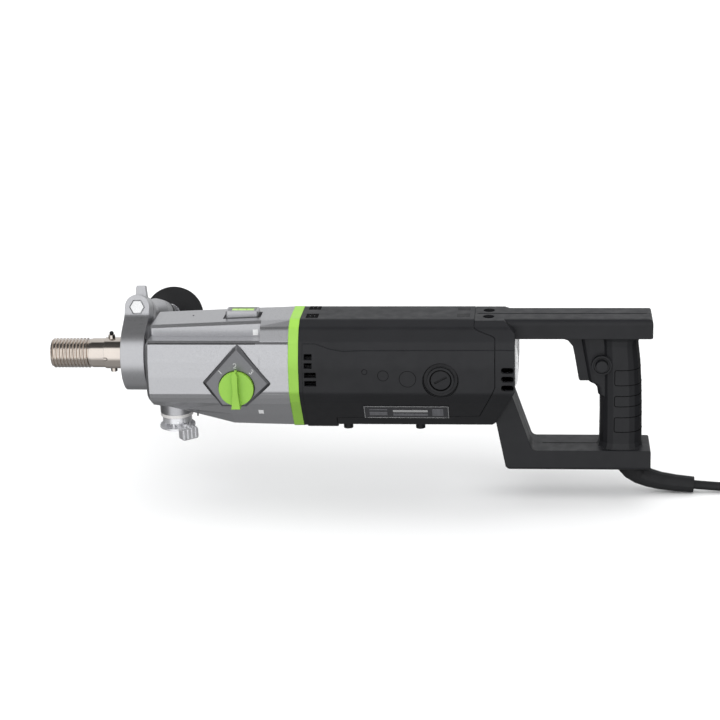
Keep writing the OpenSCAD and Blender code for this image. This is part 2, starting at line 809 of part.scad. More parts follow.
module gear_housing() {
    color(silver) difference() {
        gear_body();
        along_x(chamber_x0, gear_x1 + 1)
            chamber_outline();
        rod_x(chamber_x0, gear_x1 + 1, 2 * chamber_r);
        at_lay() {
            rod_x(chamber_x0 - 0.5, pair_x[0], needle_d);
            rod_x(pair_x[0] - 3, gear_x1, 25);
            rod_x(pair_x[1] - 5, gear_x1, 33);
            rod_x(pair_x[2] - 6, gear_x1, 43);
            rod_x(pair_x[2] + 12, gear_x1 + 1, 2 * chamber_lay_r);
        }
        rod_x(neck_x - 1, front_brg_x, seal_d);
        rod_x(front_brg_x, chamber_x0 + 1, front_brg_d);
        selector_cuts();
        water_cuts();
        level_pocket(0, far);
    }
}

module selector_cuts() {
    along_y(-far, plate_y0)
        polygon(rounded(grow(plate_side, 0.5), 3));
    at_knob()
        rod_y(plate_y0 - 1, -20, 8 + 2 * run_fit);
}

module water_cuts() {
    translate([valve_x, 0, valve_boss_z - 1])
        cylinder(h = 14, d = 14);
    port = [valve_x - water_port_x - 2, 0, 55 - seal_d / 2 + 3];
    translate([valve_x, 0, -55])
        rotate([0, -atan2(port[0], port[2]), 0])
            cylinder(h = norm(port) + 4, d = water_port_d);
}

// Block with upright round corners at the level, narrower than the pocket by gap all round
module level_pocket(gap, h) {
    a = level_len / 2 - gap;
    b = level_w / 2 - gap;
    translate([level_x, level_y, level_z0])
        linear_extrude(height = h)
            polygon(rounded([[-a, b, 2.5], [a, b, 2.5], [a, -b, 2.5], [-a, -b, 2.5]]));
}

level_z0 = top_at(level_x) - 4;
level_z1 = top_at(level_x) + level_h;
vial_z = level_z1 + 0.5 - vial_d / 2;

module bearing_bridge() {
    color(silver) difference() {
        chamber_fill(tail_x0 - 1, tail_x1 + 1, seam);
        rod_x(tail_x0, tail_x1 + 2, tail_brg_d);
        rod_x(tail_x0 - 2, tail_x0 + 1, tail_brg_d - 6);
        at_lay()
            rod_x(tail_x0 - 2, tail_x1 + 2, lay_d + 4);
    }
}

module level_frame() {
    x0 = level_x - level_len / 2 + level_gap;
    x1 = level_x + level_len / 2 - level_gap;
    color(silver) difference() {
        intersection() {
            level_pocket(level_gap, far);
            along_y(-far, far)
                polygon(rounded([[x0, 0, 0], [x0, level_z1, 2], [x1, level_z1, 2], [x1, 0, 0]], 3));
        }
        translate([level_x - vial_len / 2, level_y - vial_d / 2, vial_z - vial_d / 2])
            cube([vial_len, vial_d, 20]);
    }
}

module level_vial() {
    color(green) translate([0, level_y, vial_z])
        rod_x(level_x - vial_len / 2 + seam, level_x + vial_len / 2 - seam, vial_d - 2 * seam);
}

module selector_plate() {
    color(silver) difference() {
        union() {
            along_y(plate_y + bevel_h, plate_y0)
                polygon(rounded(plate_side, 3));
            loft_y([plate_y + bevel_h + eps, plate_y + bevel_h, plate_y],
                   [rounded(plate_side, 3), rounded(plate_side, 3), rounded(grow(plate_side, -bevel_w), 3)]);
        }
        at_knob() {
            rod_y(plate_y - 1, knob_seat_y, 2 * knob_r + 1.6);
            rod_y(plate_y - 1, plate_y0 + 1, 12);
        }
    }
}

module selector_knob() {
    color(green) at_knob() {
        rod_y(knob_seat_y - knob_t, knob_seat_y - seam, 2 * knob_r);
        rod_y(plate_y + 1, -32, 8);
        rod_y(-34, -32, 2 * crank_r + 8);
        translate([0, 0, crank_r])
            rod_y(-33, -26, 2 * crank_pin_r);
        along_y(knob_seat_y - knob_t - knob_bar_h, plate_y - seam)
            polygon([[-3, knob_r - 2], [-1.2, knob_r + 1.6], [1.2, knob_r + 1.6], [3, knob_r - 2], [2.6, 0],
                     [4.6, -knob_r - 1.5], [-4.6, -knob_r - 1.5], [-2.6, 0]]);
    }
}

module shift_fork() {
    slot_w = crank_pin_r + slide_fit;
    pin_z = knob_z + crank_r;
    color(brass) difference() {
        union() {
            rod_x(fork_x0, fork_x0 + fork_w, gear_seat_d + 12);
            translate([fork_x0, -29.5, -8])
                cube([fork_w, 14, 12]);
            translate([knob_x - slot_w - 3, -30, pin_z - 9])
                cube([2 * slot_w + 6, 3.5, 18]);
        }
        rod_x(fork_x0 - 1, fork_x0 + fork_w + 1, gear_seat_d + 2 * run_fit);
        translate([knob_x - slot_w, -31, pin_z - 6])
            cube([2 * slot_w, 6, 11]);
    }
}

// Water valve under the gear housing
module at_valve(z) {
    translate([valve_x, 0, z])
        children();
}

module valve_ring() {
    color([0.8, 0.8, 0.8]) at_valve(valve_boss_z - valve_ring_t)
        difference() {
            cylinder(h = valve_ring_t, d = valve_ring_d);
            translate([0, 0, -1])
                cylinder(h = valve_ring_t + 2, d = 13);
        }
}

module valve_body() {
    top = valve_boss_z - valve_ring_t;
    neck_h = top - valve_h - valve_end_z;
    color(steel) difference() {
        union() {
            at_valve(top - valve_h)
                cylinder(h = valve_h, d = valve_d);
            at_valve(top - 1)
                cylinder(h = valve_ring_t + 10, d = 13);
            at_valve(valve_end_z)
                cylinder(h = valve_flange_t, d = valve_flange_d);
            at_valve(valve_end_z + eps)
                cylinder(h = neck_h + 1, d = valve_neck_d);
            at_valve(valve_end_z + eps)
                for (k = [0 : 3])
                    rotate([0, 0, 90 * k + lever_turn + 45])
                        translate([valve_d / 2 - 2.5, 0, 0])
                            cylinder(h = neck_h + 1, d = 3.4);
            at_lever()
                rod_x(0, lever_reach, 5.8);
        }
        at_valve(valve_end_z - 1)
            cylinder(h = 40, d = inlet_d);
    }
}

// X runs from the valve axis along the lever's pivot
module at_lever() {
    translate([valve_x, 0, lever_z])
        rotate([0, 0, lever_turn])
            children();
}

module water_lever() {
    x0 = lever_reach + seam;
    x1 = x0 + lever_t;
    z0 = lever_top - lever_len;
    b = lever_w / 2;
    color(steel) at_lever() {
        rod_x(x0, x0 + 4, 8);
        along_x(x0 + 0.4, x1 - 0.8)
            polygon(rounded([[-b, lever_top - 0.8, 2], [b, lever_top - 0.8, 2], [b, z0, 2], [-b, z0, 2]], 3));
        for (k = [-3 : 2 : 3])
            translate([x0 + 1.4, k * b / 4 - 1, z0 + 1])
                cube([lever_t - 1.4, 2, lever_len - 1]);
    }
}

// Band and bearing plate between gear housing and motor housing
module green_band() {
    color(green) along_x(gear_x1, motor_x0)
        difference() {
            polygon(rounded(grow(body_outline, 0.3)));
            polygon(rounded(grow(body_outline, -5)));
        }
}

module bearing_plate() {
    color(silver) difference() {
        union() {
            along_x(gear_x1, plate_x1)
                polygon(rounded(grow(body_outline, -5 - seam)));
            chamber_fill(plate_x0, gear_x1 + 1, seam);
        }
        at_motor() {
            rod_x(plate_x0 + 1, motor_x0, rotor_brg_d);
            rod_x(plate_x0 - 1, plate_x0 + 2, 22);
        }
        at_lay() {
            rod_x(plate_x0 - 1, plate_x0 + lay_brg_w, lay_brg_d);
        }
    }
}

// Side handle clamp; everything that turns with it is drawn upright and tilted here
module in_clamp() {
    rotate([-clamp_tilt, 0, 0])
        children();
}

// Point where a line from p touches the lug circle; side is -1 for the front, 1 for the rear
function touch(p, side) =
    let (c = [lug_x, bolt_h], v = c - p, l = norm(v), a = asin(lug_r / l),
         t = sqrt(l * l - lug_r * lug_r), b = atan2(v[1], v[0]) + side * -a)
    p + t * [cos(b), sin(b)];

// Side and front view of the lugs, and the ear on the near one
module lug_pair() {
    foot_l = [clamp_x0, 12];
    foot_r = [clamp_x0 + clamp_w, 12];
    web = [-32.4, 21.7];
    top = bolt_h + lug_r + 1;
    intersection() {
        along_y(-far, far) {
            translate([lug_x, bolt_h])
                circle(r = lug_r);
            polygon([foot_l, touch(foot_l, -1), touch(foot_r, 1), foot_r]);
        }
        along_x(clamp_x0 - 10, clamp_x0 + clamp_w + 10)
            polygon(rounded([[lug_y0, top, 0], [lug_y0 + lug_len, top, 0], [lug_y0 + lug_len, 20, 0],
                             [web[0] + 8, web[1] - 12, 0], [web[0], web[1], 0], [lug_y0, web_z, 12]]));
    }
    along_y(-8, -0.5)
        translate([lug_x, bolt_h])
            polygon([[-4.8, 3], [-4.2, 21], [-3, 23.4], [5.6, 23.4], [6.2, 19], [8, 8]]);
}

module clamp_ring() {
    color(silver) in_clamp() difference() {
        union() {
            rod_x(clamp_x0, clamp_x0 + clamp_w, 2 * clamp_r);
            lug_pair();
        }
        rod_x(clamp_x0 - 1, clamp_x0 + clamp_w + 2, neck_d + 2 * run_fit);
        translate([clamp_x0 - 10, -split_w / 2 + 1, neck_d / 2 - 5])
            cube([clamp_w + 20, split_w, 60]);
        at_bolt() {
            rod_y(-1, lug_len + 1, bolt_d + 2 * run_fit);
            hex_y(-1, recess_h, bolt_af + 2);
        }
    }
}

// Hexagonal bar along Y, af wide across its flats
module hex_y(y0, y1, af) {
    translate([0, y1, 0])
        rotate([90, 0, 0])
            cylinder(h = y1 - y0, d = af / cos(30), $fn = 6);
}

// Places pieces on the bolt axis; Y runs from the near lug face outward
module at_bolt() {
    translate([lug_x, lug_y0, bolt_h])
        children();
}

module clamp_bolt() {
    color(steel) in_clamp() at_bolt() {
        rod_y(recess_h - eps, flare_y0 + 4, bolt_d);
        hex_y(recess_h - bolt_head_h, recess_h, bolt_af);
    }
}

// Stepped side handle, as [distance from the near lug face, radius]
bolt_hole_r = bolt_d / 2 + run_fit;
neck_profile = [[lug_len + seam, handle_neck_r], [flare_y0, handle_neck_r], [flare_y1, handle_r],
                [sleeve_y0, handle_r], [sleeve_y0, core_r], [core_end, core_r], [core_end, 0], [flare_y0 + 4.5, 0],
                [flare_y0 + 4.5, bolt_hole_r], [lug_len + seam, bolt_hole_r]];

module revolve_y(profile) {
    rotate([-90, 0, 0])
        rotate_extrude()
            polygon([for (q = profile) [q[1], q[0]]]);
}

module sleeve_y(y0, y1, r_out, r_in) {
    difference() {
        rod_y(y0, y1, 2 * r_out);
        rod_y(y0 - 1, y1 + 1, 2 * r_in);
    }
}

module handle_shaft() {
    color(silver) in_clamp() at_bolt() revolve_y(neck_profile);
}

module handle_sleeve() {
    color(silver) in_clamp() at_bolt() {
        sleeve_y(sleeve_y0, band_y, handle_r, core_r);
        sleeve_y(band_y, tail_sleeve_y, handle_r - 3, core_r);
        sleeve_y(tail_sleeve_y, ferrule_y, tail_sleeve_r, core_r);
    }
}

module handle_band() {
    color(rubber_black) in_clamp() at_bolt() sleeve_y(band_y, tail_sleeve_y, handle_r - 0.5, handle_r - 3);
}

module handle_ferrule() {
    color(steel) in_clamp() at_bolt() {
        sleeve_y(ferrule_y, flange_y0, ferrule_r, core_r);
        sleeve_y(flange_y0, flange_y1, flange_r, core_r);
        sleeve_y(flange_y1, guard_l - guard_t / 2, ferrule_r + 1, core_r);
    }
}

module guard_disc() {
    color(rubber_black) in_clamp() at_bolt()
        sleeve_y(guard_l - guard_t / 2, guard_l + guard_t / 2, guard_r, core_r);
}

module side_grip() {
    y0 = guard_l + guard_t / 2;
    y1 = y0 + side_grip_len;
    color(rubber_black) in_clamp() at_bolt()
        revolve_y([[y0, core_r], [y0, side_grip_r - 2], [y0 + 12, side_grip_r], [y0 + side_grip_len / 2, side_grip_r + 1],
                   [y1 - 12, side_grip_r - 1], [y1 - 6, side_grip_r + 1.5], [y1, side_grip_r - 2], [y1, 0],
                   [core_end, 0], [core_end, core_r]]);
}

// Motor housing
module side_cut(side) {
    along_y(-far, far)
        polygon(side);
}

panel_side = [[231, -far], [231, 24.7], [245, 24.5], [258, 20], [272, 17.5], [290, 18.2], [cover_x1 + 1, 18.7],
              [cover_x1 + 1, -far]];

// Outside of the body with its raised side panel
module body_solid(x0, x1) {
    along_x(x0, x1)
        polygon(rounded(body_outline));
    intersection() {
        along_x(max(x0, motor_x0 + 4), x1)
            polygon(rounded(grow(body_outline, panel_t)));
        side_cut(panel_side);
    }
}

module motor_housing() {
    color(black) difference() {
        union() {
            intersection() {
                body_solid(motor_x0, cover_x1);
                side_cut(motor_side);
            }
            at_motor()
                rod_x(motor_x0, tube_x1, 2 * (tube_r + tube_wall));
        }
        difference() {
            along_x(tube_x0, cover_x1 + 1)
                polygon(rounded(grow(body_outline, -wall)));
            at_motor()
                rod_x(tube_x0 - 1, tube_x1, 2 * (tube_r + tube_wall));
            for (z = [motor_z, 0])
                translate([tube_x0 - 1, -body_w - 5, z - (z == 0 ? -24 : 2)])
                    cube([tube_x1 - tube_x0, 2 * body_w + 10, 4]);
        }
        at_motor() {
            rod_x(tube_x0, tube_x1 + 1, 2 * tube_r);
            rod_x(motor_x0 - 1, tube_x0 + 1, rotor_brg_d + 10);
        }
        motor_vents();
        for (side = [-1, 1])
            brush_cut(side);
    }
    color(black) for (side = [-1, 1])
        brush_boss(side);
}

module motor_vents() {
    for (row = [[12.1, 8], [3.4, 8], [-6.5, 12], [-15.5, 12]])
        translate([232.8, -far, row[0] - 2.8])
            cube([row[1], 2 * far, 5.6]);
    for (y = top_slot_y)
        translate([232, y - top_slot_w / 2, top_z - 8])
            cube([top_slot_len, top_slot_w, 20]);
}

module brush_cut(side) {
    translate([brush_x, 0, motor_z])
        scale([1, side, 1]) {
            rod_y(body_w - 3, body_w + 5, 2 * brush_recess_r);
            rod_y(tube_r - 5, body_w + 5, 2 * brush_cap_r + 2 * seam);
        }
}

module brush_boss(side) {
    translate([brush_x, 0, motor_z])
        mirror([0, side > 0 ? 0 : 1, 0])
            sleeve_y(tube_r + 1, body_w - 0.5, brush_boss_r, brush_cap_r + seam);
}

module each_brush() {
    for (side = [0, 1])
        translate([brush_x, 0, motor_z])
            mirror([0, side, 0])
                children();
}

module brush_caps() {
    color(black) each_brush() difference() {
        rod_y(body_w - 6.5, body_w - 1.2, 2 * brush_cap_r);
        rotate([0, -28, 0])
            translate([-7, body_w - 2.8, -0.9])
                cube([14, 3, 1.8]);
    }
}

module brush_holders() {
    color(brass) each_brush() difference() {
        union() {
            translate([-6, commutator_r + 2.5, -5])
                cube([12, body_w - 6.5 - commutator_r - 2.5, 10]);
            rod_y(tube_r - 4, body_w - 6.5, 2 * brush_cap_r);
        }
        translate([-4.5, commutator_r, -3.5])
            cube([9, body_w - 6.5 - commutator_r + eps, 7]);
    }
}

module carbon_brushes() {
    color(rubber_black) each_brush() {
        translate([-4.4, commutator_r + run_fit, -3.4])
            cube([8.8, body_w - 6.5 - commutator_r - run_fit, 6.8]);
    }
}

module rear_bracket() {
    color(silver) at_motor() difference() {
        rod_x(rotor_tail_x, rotor_tail_x + rotor_tail_w + 1, 2 * tube_r);
        rod_x(rotor_tail_x - 1, rotor_tail_x + rotor_tail_w, rotor_tail_brg_d);
        rod_x(rotor_tail_x - 1, rotor_tail_x + 10, 16);
        for (k = [0 : 7])
            rotate([45 * k + 22.5, 0, 0])
                translate([0, 0, 27])
                    rod_x(rotor_tail_x - 1, rotor_tail_x + 10, 15);
    }
}

module stator_core() {
    color(silver) at_motor() difference() {
        rod_x(core_x0, core_x0 + core_len, 2 * tube_r);
        rod_x(core_x0 - 1, core_x0 + core_len + 1, 2 * (rotor_r + air_gap));
        for (side = [0, 180])
            rotate([side, 0, 0])
                along_x(core_x0 - 1, core_x0 + core_len + 1)
                    polygon([[8, 20], [16, 31], [26, 31], [31, 18], [31, 8], [20, 6]]);
        for (side = [0, 180])
            rotate([side, 0, 0])
                along_x(core_x0 - 1, core_x0 + core_len + 1)
                    polygon([[-8, 20], [-16, 31], [-26, 31], [-31, 18], [-31, 8], [-20, 6]]);
    }
}

module field_coils() {
    color(copper) at_motor() for (x = [core_x0 - 10, core_x0 + core_len])
        ring_x(x, x + 10, 74, 54);
}

module rotor_shaft() {
    color(steel) at_motor() {
        gear_x(198, 14, pinion_z, pair_m, 0);
        rod_x(211.5, plate_x0 + 1, 11);
        rod_x(plate_x0 + 1, plate_x1 + 3, rotor_front_d);
        rod_x(plate_x1 + 3, rotor_tail_x - 1, rotor_shaft_d);
        rod_x(rotor_tail_x - 1, rotor_tail_x + rotor_tail_w, rotor_tail_d);
    }
}

module rotor_core() {
    color(silver) at_motor() difference() {
        rod_x(core_x0, core_x0 + core_len, 2 * rotor_r);
        rod_x(core_x0 - 1, core_x0 + core_len + 1, rotor_shaft_d);
        for (k = [0 : 11])
            rotate([30 * k, 0, 0])
                translate([core_x0 - 1, -1.2, rotor_r - 1.6])
                    cube([core_len + 2, 2.4, 4]);
    }
}

module rotor_windings() {
    color(copper) at_motor() for (x = [core_x0 - 11, core_x0 + core_len])
        ring_x(x, x + 11, 42, rotor_shaft_d);
}

module commutator() {
    x0 = brush_x - 13.4;
    color(copper) at_motor() difference() {
        rod_x(x0, x0 + commutator_len, 2 * commutator_r);
        rod_x(x0 - 1, x0 + commutator_len + 1, rotor_shaft_d);
        for (k = [0 : bar_n - 1])
            rotate([360 / bar_n * k, 0, 0])
                translate([x0 - 1, -0.3, commutator_r - 0.8])
                    cube([commutator_len + 2, 0.6, 2]);
    }
}

module cooling_fan() {
    color(black) at_motor() {
        ring_x(236, 239, 2 * fan_r - 4, rotor_shaft_d);
        ring_x(239 - eps, 250, 24, rotor_shaft_d);
        for (k = [0 : blade_n - 1])
            rotate([360 / blade_n * k, 0, 0])
                translate([238.9, -1, 14])
                    cube([10, 2, fan_r - 16.5]);
    }
}

module rating_plate() {
    color([0.3, 0.3, 0.32]) on_lower_side() {
        translate([291.7, -26.6, 0])
            cube([88.3, 21.3, 0.6]);
        for (x = [294.2, 377.5])
            for (h = [-24.1, -7.8])
                translate([x, h, 0])
                    cylinder(h = 1.1, d = 2.6);
    }
}

// Lower slanting side on the near side: x along the machine, y up the slope from its upper edge, z outward
module on_lower_side() {
    a = body_half[5];
    b = body_half[6];
    translate([0, -a[0], a[1]])
        rotate([90 + atan2(a[0] - b[0], a[1] - b[1]), 0, 0])
            translate([0, 0, panel_t])
                children();
}

module feet() {
    color(rubber_black) for (x = foot_x)
        translate([x, 0, foot_z])
            cylinder(h = tongue_z - foot_z, d = foot_d);
}

// D-handle shells: end cover, tongue under the motor, frame and grip, split down the middle
function grip_outline(row, e) =
    let (cx = (row[1] + row[2]) / 2, rx = (row[2] - row[1]) / 2, w = row[3])
    [for (k = [0 : 19]) let (a = -18 * k, c = cos(a), s = sin(a))
        [cx + rx * sign(c) * pow(abs(c), e), w * sign(s) * pow(abs(s), e)]];

module upright(rows, e) {
    points = [for (row = rows) for (q = grip_outline(row, e)) [q[0], q[1], row[0]]];
    polyhedron(points = points, faces = loft_faces(len(rows), 20));
}

module shell_outer() {
    intersection() {
        body_solid(tongue_x0, cover_x1);
        side_cut(shell_side);
    }
    intersection() {
        along_x(424, frame_x1)
            polygon(rounded([[frame_w, handle_z, 5.5], [frame_w, low_bar_z0, 3.5], [-frame_w, low_bar_z0, 3.5],
                             [-frame_w, handle_z, 5.5]]));
        along_y(-frame_w, frame_w) {
            polygon(rounded(bar_side, 3));
            polygon(rounded(leg_side, 3));
        }
    }
    upright(grip_rows, 0.85);
    upright(front_rows, 0.45);
    translate([lock_x, 0, lock_z])
        rod_y(-grip_w, -8, 2 * lock_ring_r);
}

module shell_inner() {
    x1 = cover_x1 - shell_wall;
    z1 = handle_z - shell_wall;
    bar_x1 = frame_x1 - shell_wall;
    intersection() {
        along_x(tongue_x0 + shell_wall, x1)
            polygon(rounded(grow(body_outline, -wall)));
        along_y(-far, far)
            polygon([[404, z1], [400, 20], [400, -50], [tongue_x0, -50], [tongue_x0, tongue_z + shell_wall],
                     [422, tongue_z + shell_wall], [425, -65], [x1, -26], [x1, 32], [436, z1 - 1], [432, z1]]);
    }
    along_y(-frame_w + shell_wall, frame_w - shell_wall) {
        polygon([[434, z1], [434, bar_z0 + shell_wall], [bar_x1, bar_z0 + shell_wall], [bar_x1, z1]]);
        polygon([[432, -66], [443.5, low_bar_z0 + shell_wall], [bar_x1, low_bar_z0 + shell_wall],
                 [bar_x1, low_bar_z1 - shell_wall], [462.5, low_bar_z1 - shell_wall], [444, -44]]);
    }
    translate([switch_x0 - 1, -switch_w - seam, low_bar_z1 - 8])
        cube([switch_len + 2, 2 * (switch_w + seam), -low_bar_z1 + bar_z0 + 12]);
}

module shell_cuts() {
    at_motor()
        rod_x(tongue_x0 - 1, tube_x1 + seam, 2 * (tube_r + tube_wall + seam));
    joint_groove();
    along_y(-trigger_w - slide_fit, trigger_w + slide_fit)
        polygon([[490, bar_z0], [490, trigger_z0 - slide_fit], [switch_x0, trigger_z0 - slide_fit],
                 [switch_x0, bar_z0]]);
    translate([lock_x, 0, lock_z]) {
        rod_y(-60, -14, 2 * (lock_r + slide_fit));
        rod_y(-60, -grip_w + 1.2, 2 * lock_ring_r - 3.6);
    }
    translate([570, 0, low_bar_z0 - 1])
        cylinder(h = shell_wall + 2, d = 26);
    for (z = cover_vent_z)
        for (y = [40, -60])
            along_y(y, y + 20)
                polygon(rounded([[434.2, z + cover_vent_h / 2, 2.4], [446.8, z + cover_vent_h / 2, 2.4],
                                 [446.8, z - cover_vent_h / 2, 2.4], [434.2, z - cover_vent_h / 2, 2.4]], 3));
    each_screw() {
        translate([0, 0, screw_seat_z])
            cylinder(h = 20, d = 11.8);
        translate([0, 0, screw_seat_z - 12])
            cylinder(h = 20, d = 4);
    }
    for (z = [-18, 4])
        translate([cover_x1 - 5, -34, z])
            cube([10, 68, 16]);
}

// Shallow groove where the shells meet the motor housing
module joint_groove() {
    difference() {
        side_cut(pick(grow([for (q = motor_side) [q[0], q[1], 0]], groove_w)));
        along_x(tongue_x0 - 10, cover_x1 + 10)
            polygon(rounded(grow(body_outline, -groove_h)));
    }
}

module each_screw() {
    for (s = [-1, 1])
        translate([screw_x, screw_y * s, 0])
            children();
}

module shell_half(side) {
    intersection() {
        difference() {
            union() {
                difference() {
                    shell_outer();
                    shell_inner();
                }
                each_screw()
                    translate([0, 0, screw_seat_z - 13])
                        cylinder(h = top_z - screw_seat_z + 11, d = 15);
            }
            shell_cuts();
        }
        translate([200, side > 0 ? seam / 4 : -far - seam / 4, -200])
            cube([500, far, 400]);
    }
}

module near_shell() {
    color(black) shell_half(-1);
}

module far_shell() {
    color(black) shell_half(1);
}

module rear_grille() {
    color([0.75, 0.75, 0.75]) difference() {
        along_y(-grille_w, grille_w)
            polygon([[cover_x1, -23.6], [cover_x1 + 0.6 * grille_t, -20], [cover_x1 + grille_t, -11],
                     [cover_x1 + grille_t, 9], [cover_x1 + 0.6 * grille_t, 18], [cover_x1, 21.6]]);
        for (k = [-6 : 6])
            translate([cover_x1 - 1, 5.5 * k - 1.75, -18])
                cube([grille_t + 2, 3.5, 34]);
    }
}

module shell_screws() {
    color(steel) each_screw()
        translate([0, 0, screw_seat_z])
            difference() {
                union() {
                    cylinder(h = 2.5, d = 8);
                    translate([0, 0, -11])
                        cylinder(h = 12, d = 4);
                }
                translate([0, 0, 1])
                    cylinder(h = 3, d = 4, $fn = 6);
            }
}

module switch_body() {
    color(rubber_black) translate([switch_x0, -switch_w, -26])
        cube([switch_len, 2 * switch_w, 46]);
}

module trigger() {
    color(black) along_y(-trigger_w, trigger_w)
        polygon(trigger_side);
}

module lock_button() {
    color(black) translate([lock_x, 0, lock_z])
        rod_y(-grip_w - 3.5, -14 - lock_travel - seam, 2 * lock_r);
}

// Strain relief and cord
relief_route = [[570, 0, low_bar_z0 + 0.01], [570.5, 0, -123], [573, 0, -128], [579, 0, -133.5], [588, 0, -138],
                [600, 0, -141.3], [616, 0, -143.8], [635, 0, -145.5]];
relief_radii = [16.4, 15.6, 13.4, 11.4, 10, 9.4, 9, 8.4];
relief_axis = unit(relief_route[7] - relief_route[6]);
cord_z = floor_z + cord_d / 2;
cord_start = relief_route[7] - 9 * relief_axis;

module strain_relief() {
    color(rubber_black) difference() {
        relief_body();
        translate(cord_start)
            rotate([0, 90 - asin(relief_axis[2]), 0])
                cylinder(h = 20, d = cord_d + 0.3);
    }
}

// The boot starts upright and leaves level, so its rings turn with the route in the XZ plane
module relief_body() {
    last = len(relief_route) - 1;
    points = [for (i = [0 : last])
        let (t = i == 0 ? [0, 0, -1] : unit(relief_route[min(i + 1, last)] - relief_route[i - 1]),
             u = cross(t, [0, 1, 0]))
        for (j = [0 : 15]) relief_route[i] + relief_radii[i] * ([0, 1, 0] * cos(22.5 * j) + u * sin(22.5 * j))];
    polyhedron(points = points, faces = loft_faces(len(relief_route), 16));
}

// Chosen route of the cord from the boot to the coil
cord_points = [cord_start, relief_route[7] + 6 * relief_axis, [662, 0, -147.6], [690, 0, cord_z],
               [725, 0, cord_z], [coil_x, 0, cord_z]];

function blend(p, t) =
    let (n = len(p) - 1, i = min(floor(t), n - 1), f = t - i,
         a = p[max(i - 1, 0)], b = p[i], c = p[i + 1], d = p[min(i + 2, n)])
    0.5 * (2 * b + (c - a) * f + (2 * a - 5 * b + 4 * c - d) * f * f + (3 * b - a - 3 * c + d) * f * f * f);

cord_steps = 4;
cord_route = [for (k = [0 : cord_steps * (len(cord_points) - 1)]) blend(cord_points, k / cord_steps)];

// Coil: four layers that spiral in, out, in and out; each reversal climbs one layer in half a turn
pitch = cord_d + turn_gap;
climb = cord_d + turn_gap;
bulge = 3.2;
unit_turns = layer_turns + 0.5;
wound_turns = 4 * layer_turns + 1.5;
coil_inner = coil_r - layer_turns * pitch;
exit_turns = 0.42;

function wound(n) =
    let (k = min(floor(n / unit_turns), 3), f = n - k * unit_turns,
         in_layer = f <= layer_turns, s = in_layer ? 0 : (f - layer_turns) / 0.5,
         r_go = k % 2 == 0 ? coil_r - pitch * min(f, layer_turns) : coil_inner + pitch * min(f, layer_turns),
         out = k % 2 == 0 ? -1 : 1)
    [r_go + out * bulge * sin(180 * s), k * climb + climb * (1 - cos(180 * s)) / 2];

function ease(t) = (1 - cos(180 * max(min(t, 1), 0))) / 2;

// The end leaves the top layer, comes down beside the coil and rises into the plug, which lies on its side
plug_rise = plug_r - cord_d / 2;
function coil_at(n) =
    let (w = wound(min(n, wound_turns)), e = max(n - wound_turns, 0) / exit_turns,
         r = w[0] + (cord_d + 8) * ease(1.8 * e),
         z = w[1] - 3 * climb * ease((e - 0.1) / 0.6) + plug_rise * ease((e - 0.7) / 0.3),
         a = 360 * n - 90)
    [coil_x + r * cos(a), coil_r + r * sin(a), cord_z + z];

coil_rings = 24;
coil_count = ceil((wound_turns + exit_turns) * coil_rings);
coil_route = [for (k = [0 : coil_count]) coil_at(k / coil_rings)];
coil_last = coil_route[coil_count];
coil_dir = unit([coil_last[0] - coil_route[coil_count - 1][0], coil_last[1] - coil_route[coil_count - 1][1], 0]);
coil_end = coil_last + cord_d * coil_dir;
coil_path = concat(coil_route, [coil_end]);

// Least gap between points at least half a turn apart, and the cord's whole length
coil_gap = min([for (i = [0 : 2 : coil_count - 13]) min([for (j = [i + 12 : coil_count])
                norm(coil_route[i] - coil_route[j])])]) - cord_d;
function run(p) = [for (i = [1 : len(p) - 1]) norm(p[i] - p[i - 1])] * [for (i = [1 : len(p) - 1]) 1];
echo(coil_gap = coil_gap, cord_length = run(cord_route) + run(coil_path));

module cord() {
    color(rubber_black) tube(cord_route, [for (p = cord_route) cord_d / 2], 10);
}

module coil() {
    color(rubber_black) tube(coil_path, [for (p = coil_path) cord_d / 2], 6);
}

module plug() {
    color(rubber_black) translate(coil_end)
        rotate([0, 0, atan2(coil_dir[1], coil_dir[0])]) {
            rotate([0, 90, 0])
                rotate_extrude()
                    polygon([[0, 0], [7, 0], [8.5, 18], [9.5, 26], [plug_r, 32], [plug_r, 46], [0, 46]]);
            for (y = [-9.5, 9.5])
                translate([46 - eps, y, 0])
                    rotate([0, 90, 0])
                        cylinder(h = 19, d = 4.8);
        }
}

gear_housing();
bearing_bridge();
front_bearing();
tail_bearing();
front_seal();
rear_seal();
needle_bearing();
lay_bearing();
level_frame();
level_vial();
selector_plate();
valve_ring();
valve_body();
water_lever();
green_band();
bearing_plate();
rotor_bearing();
rotor_tail_bearing();
spindle();
spindle_plug();
mid_gear();
low_gear();
high_gear();
layshaft();
lay_wheel();
selector_knob();
shift_fork();
clamp_ring();
clamp_bolt();
handle_shaft();
handle_sleeve();
handle_band();
handle_ferrule();
guard_disc();
side_grip();
motor_housing();
rear_bracket();
stator_core();
field_coils();
rotor_shaft();
rotor_core();
rotor_windings();
commutator();
cooling_fan();
brush_caps();
brush_holders();
carbon_brushes();
rating_plate();
feet();
near_shell();
far_shell();
rear_grille();
shell_screws();
switch_body();
trigger();
lock_button();
strain_relief();
cord();
coil();
plug();
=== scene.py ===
"""Studio scene of the core drill: finishes, small details, mains cord, light and camera."""
import json
import math

import bmesh
import bpy
from mathutils import Matrix, Vector
from mathutils.bvhtree import BVHTree


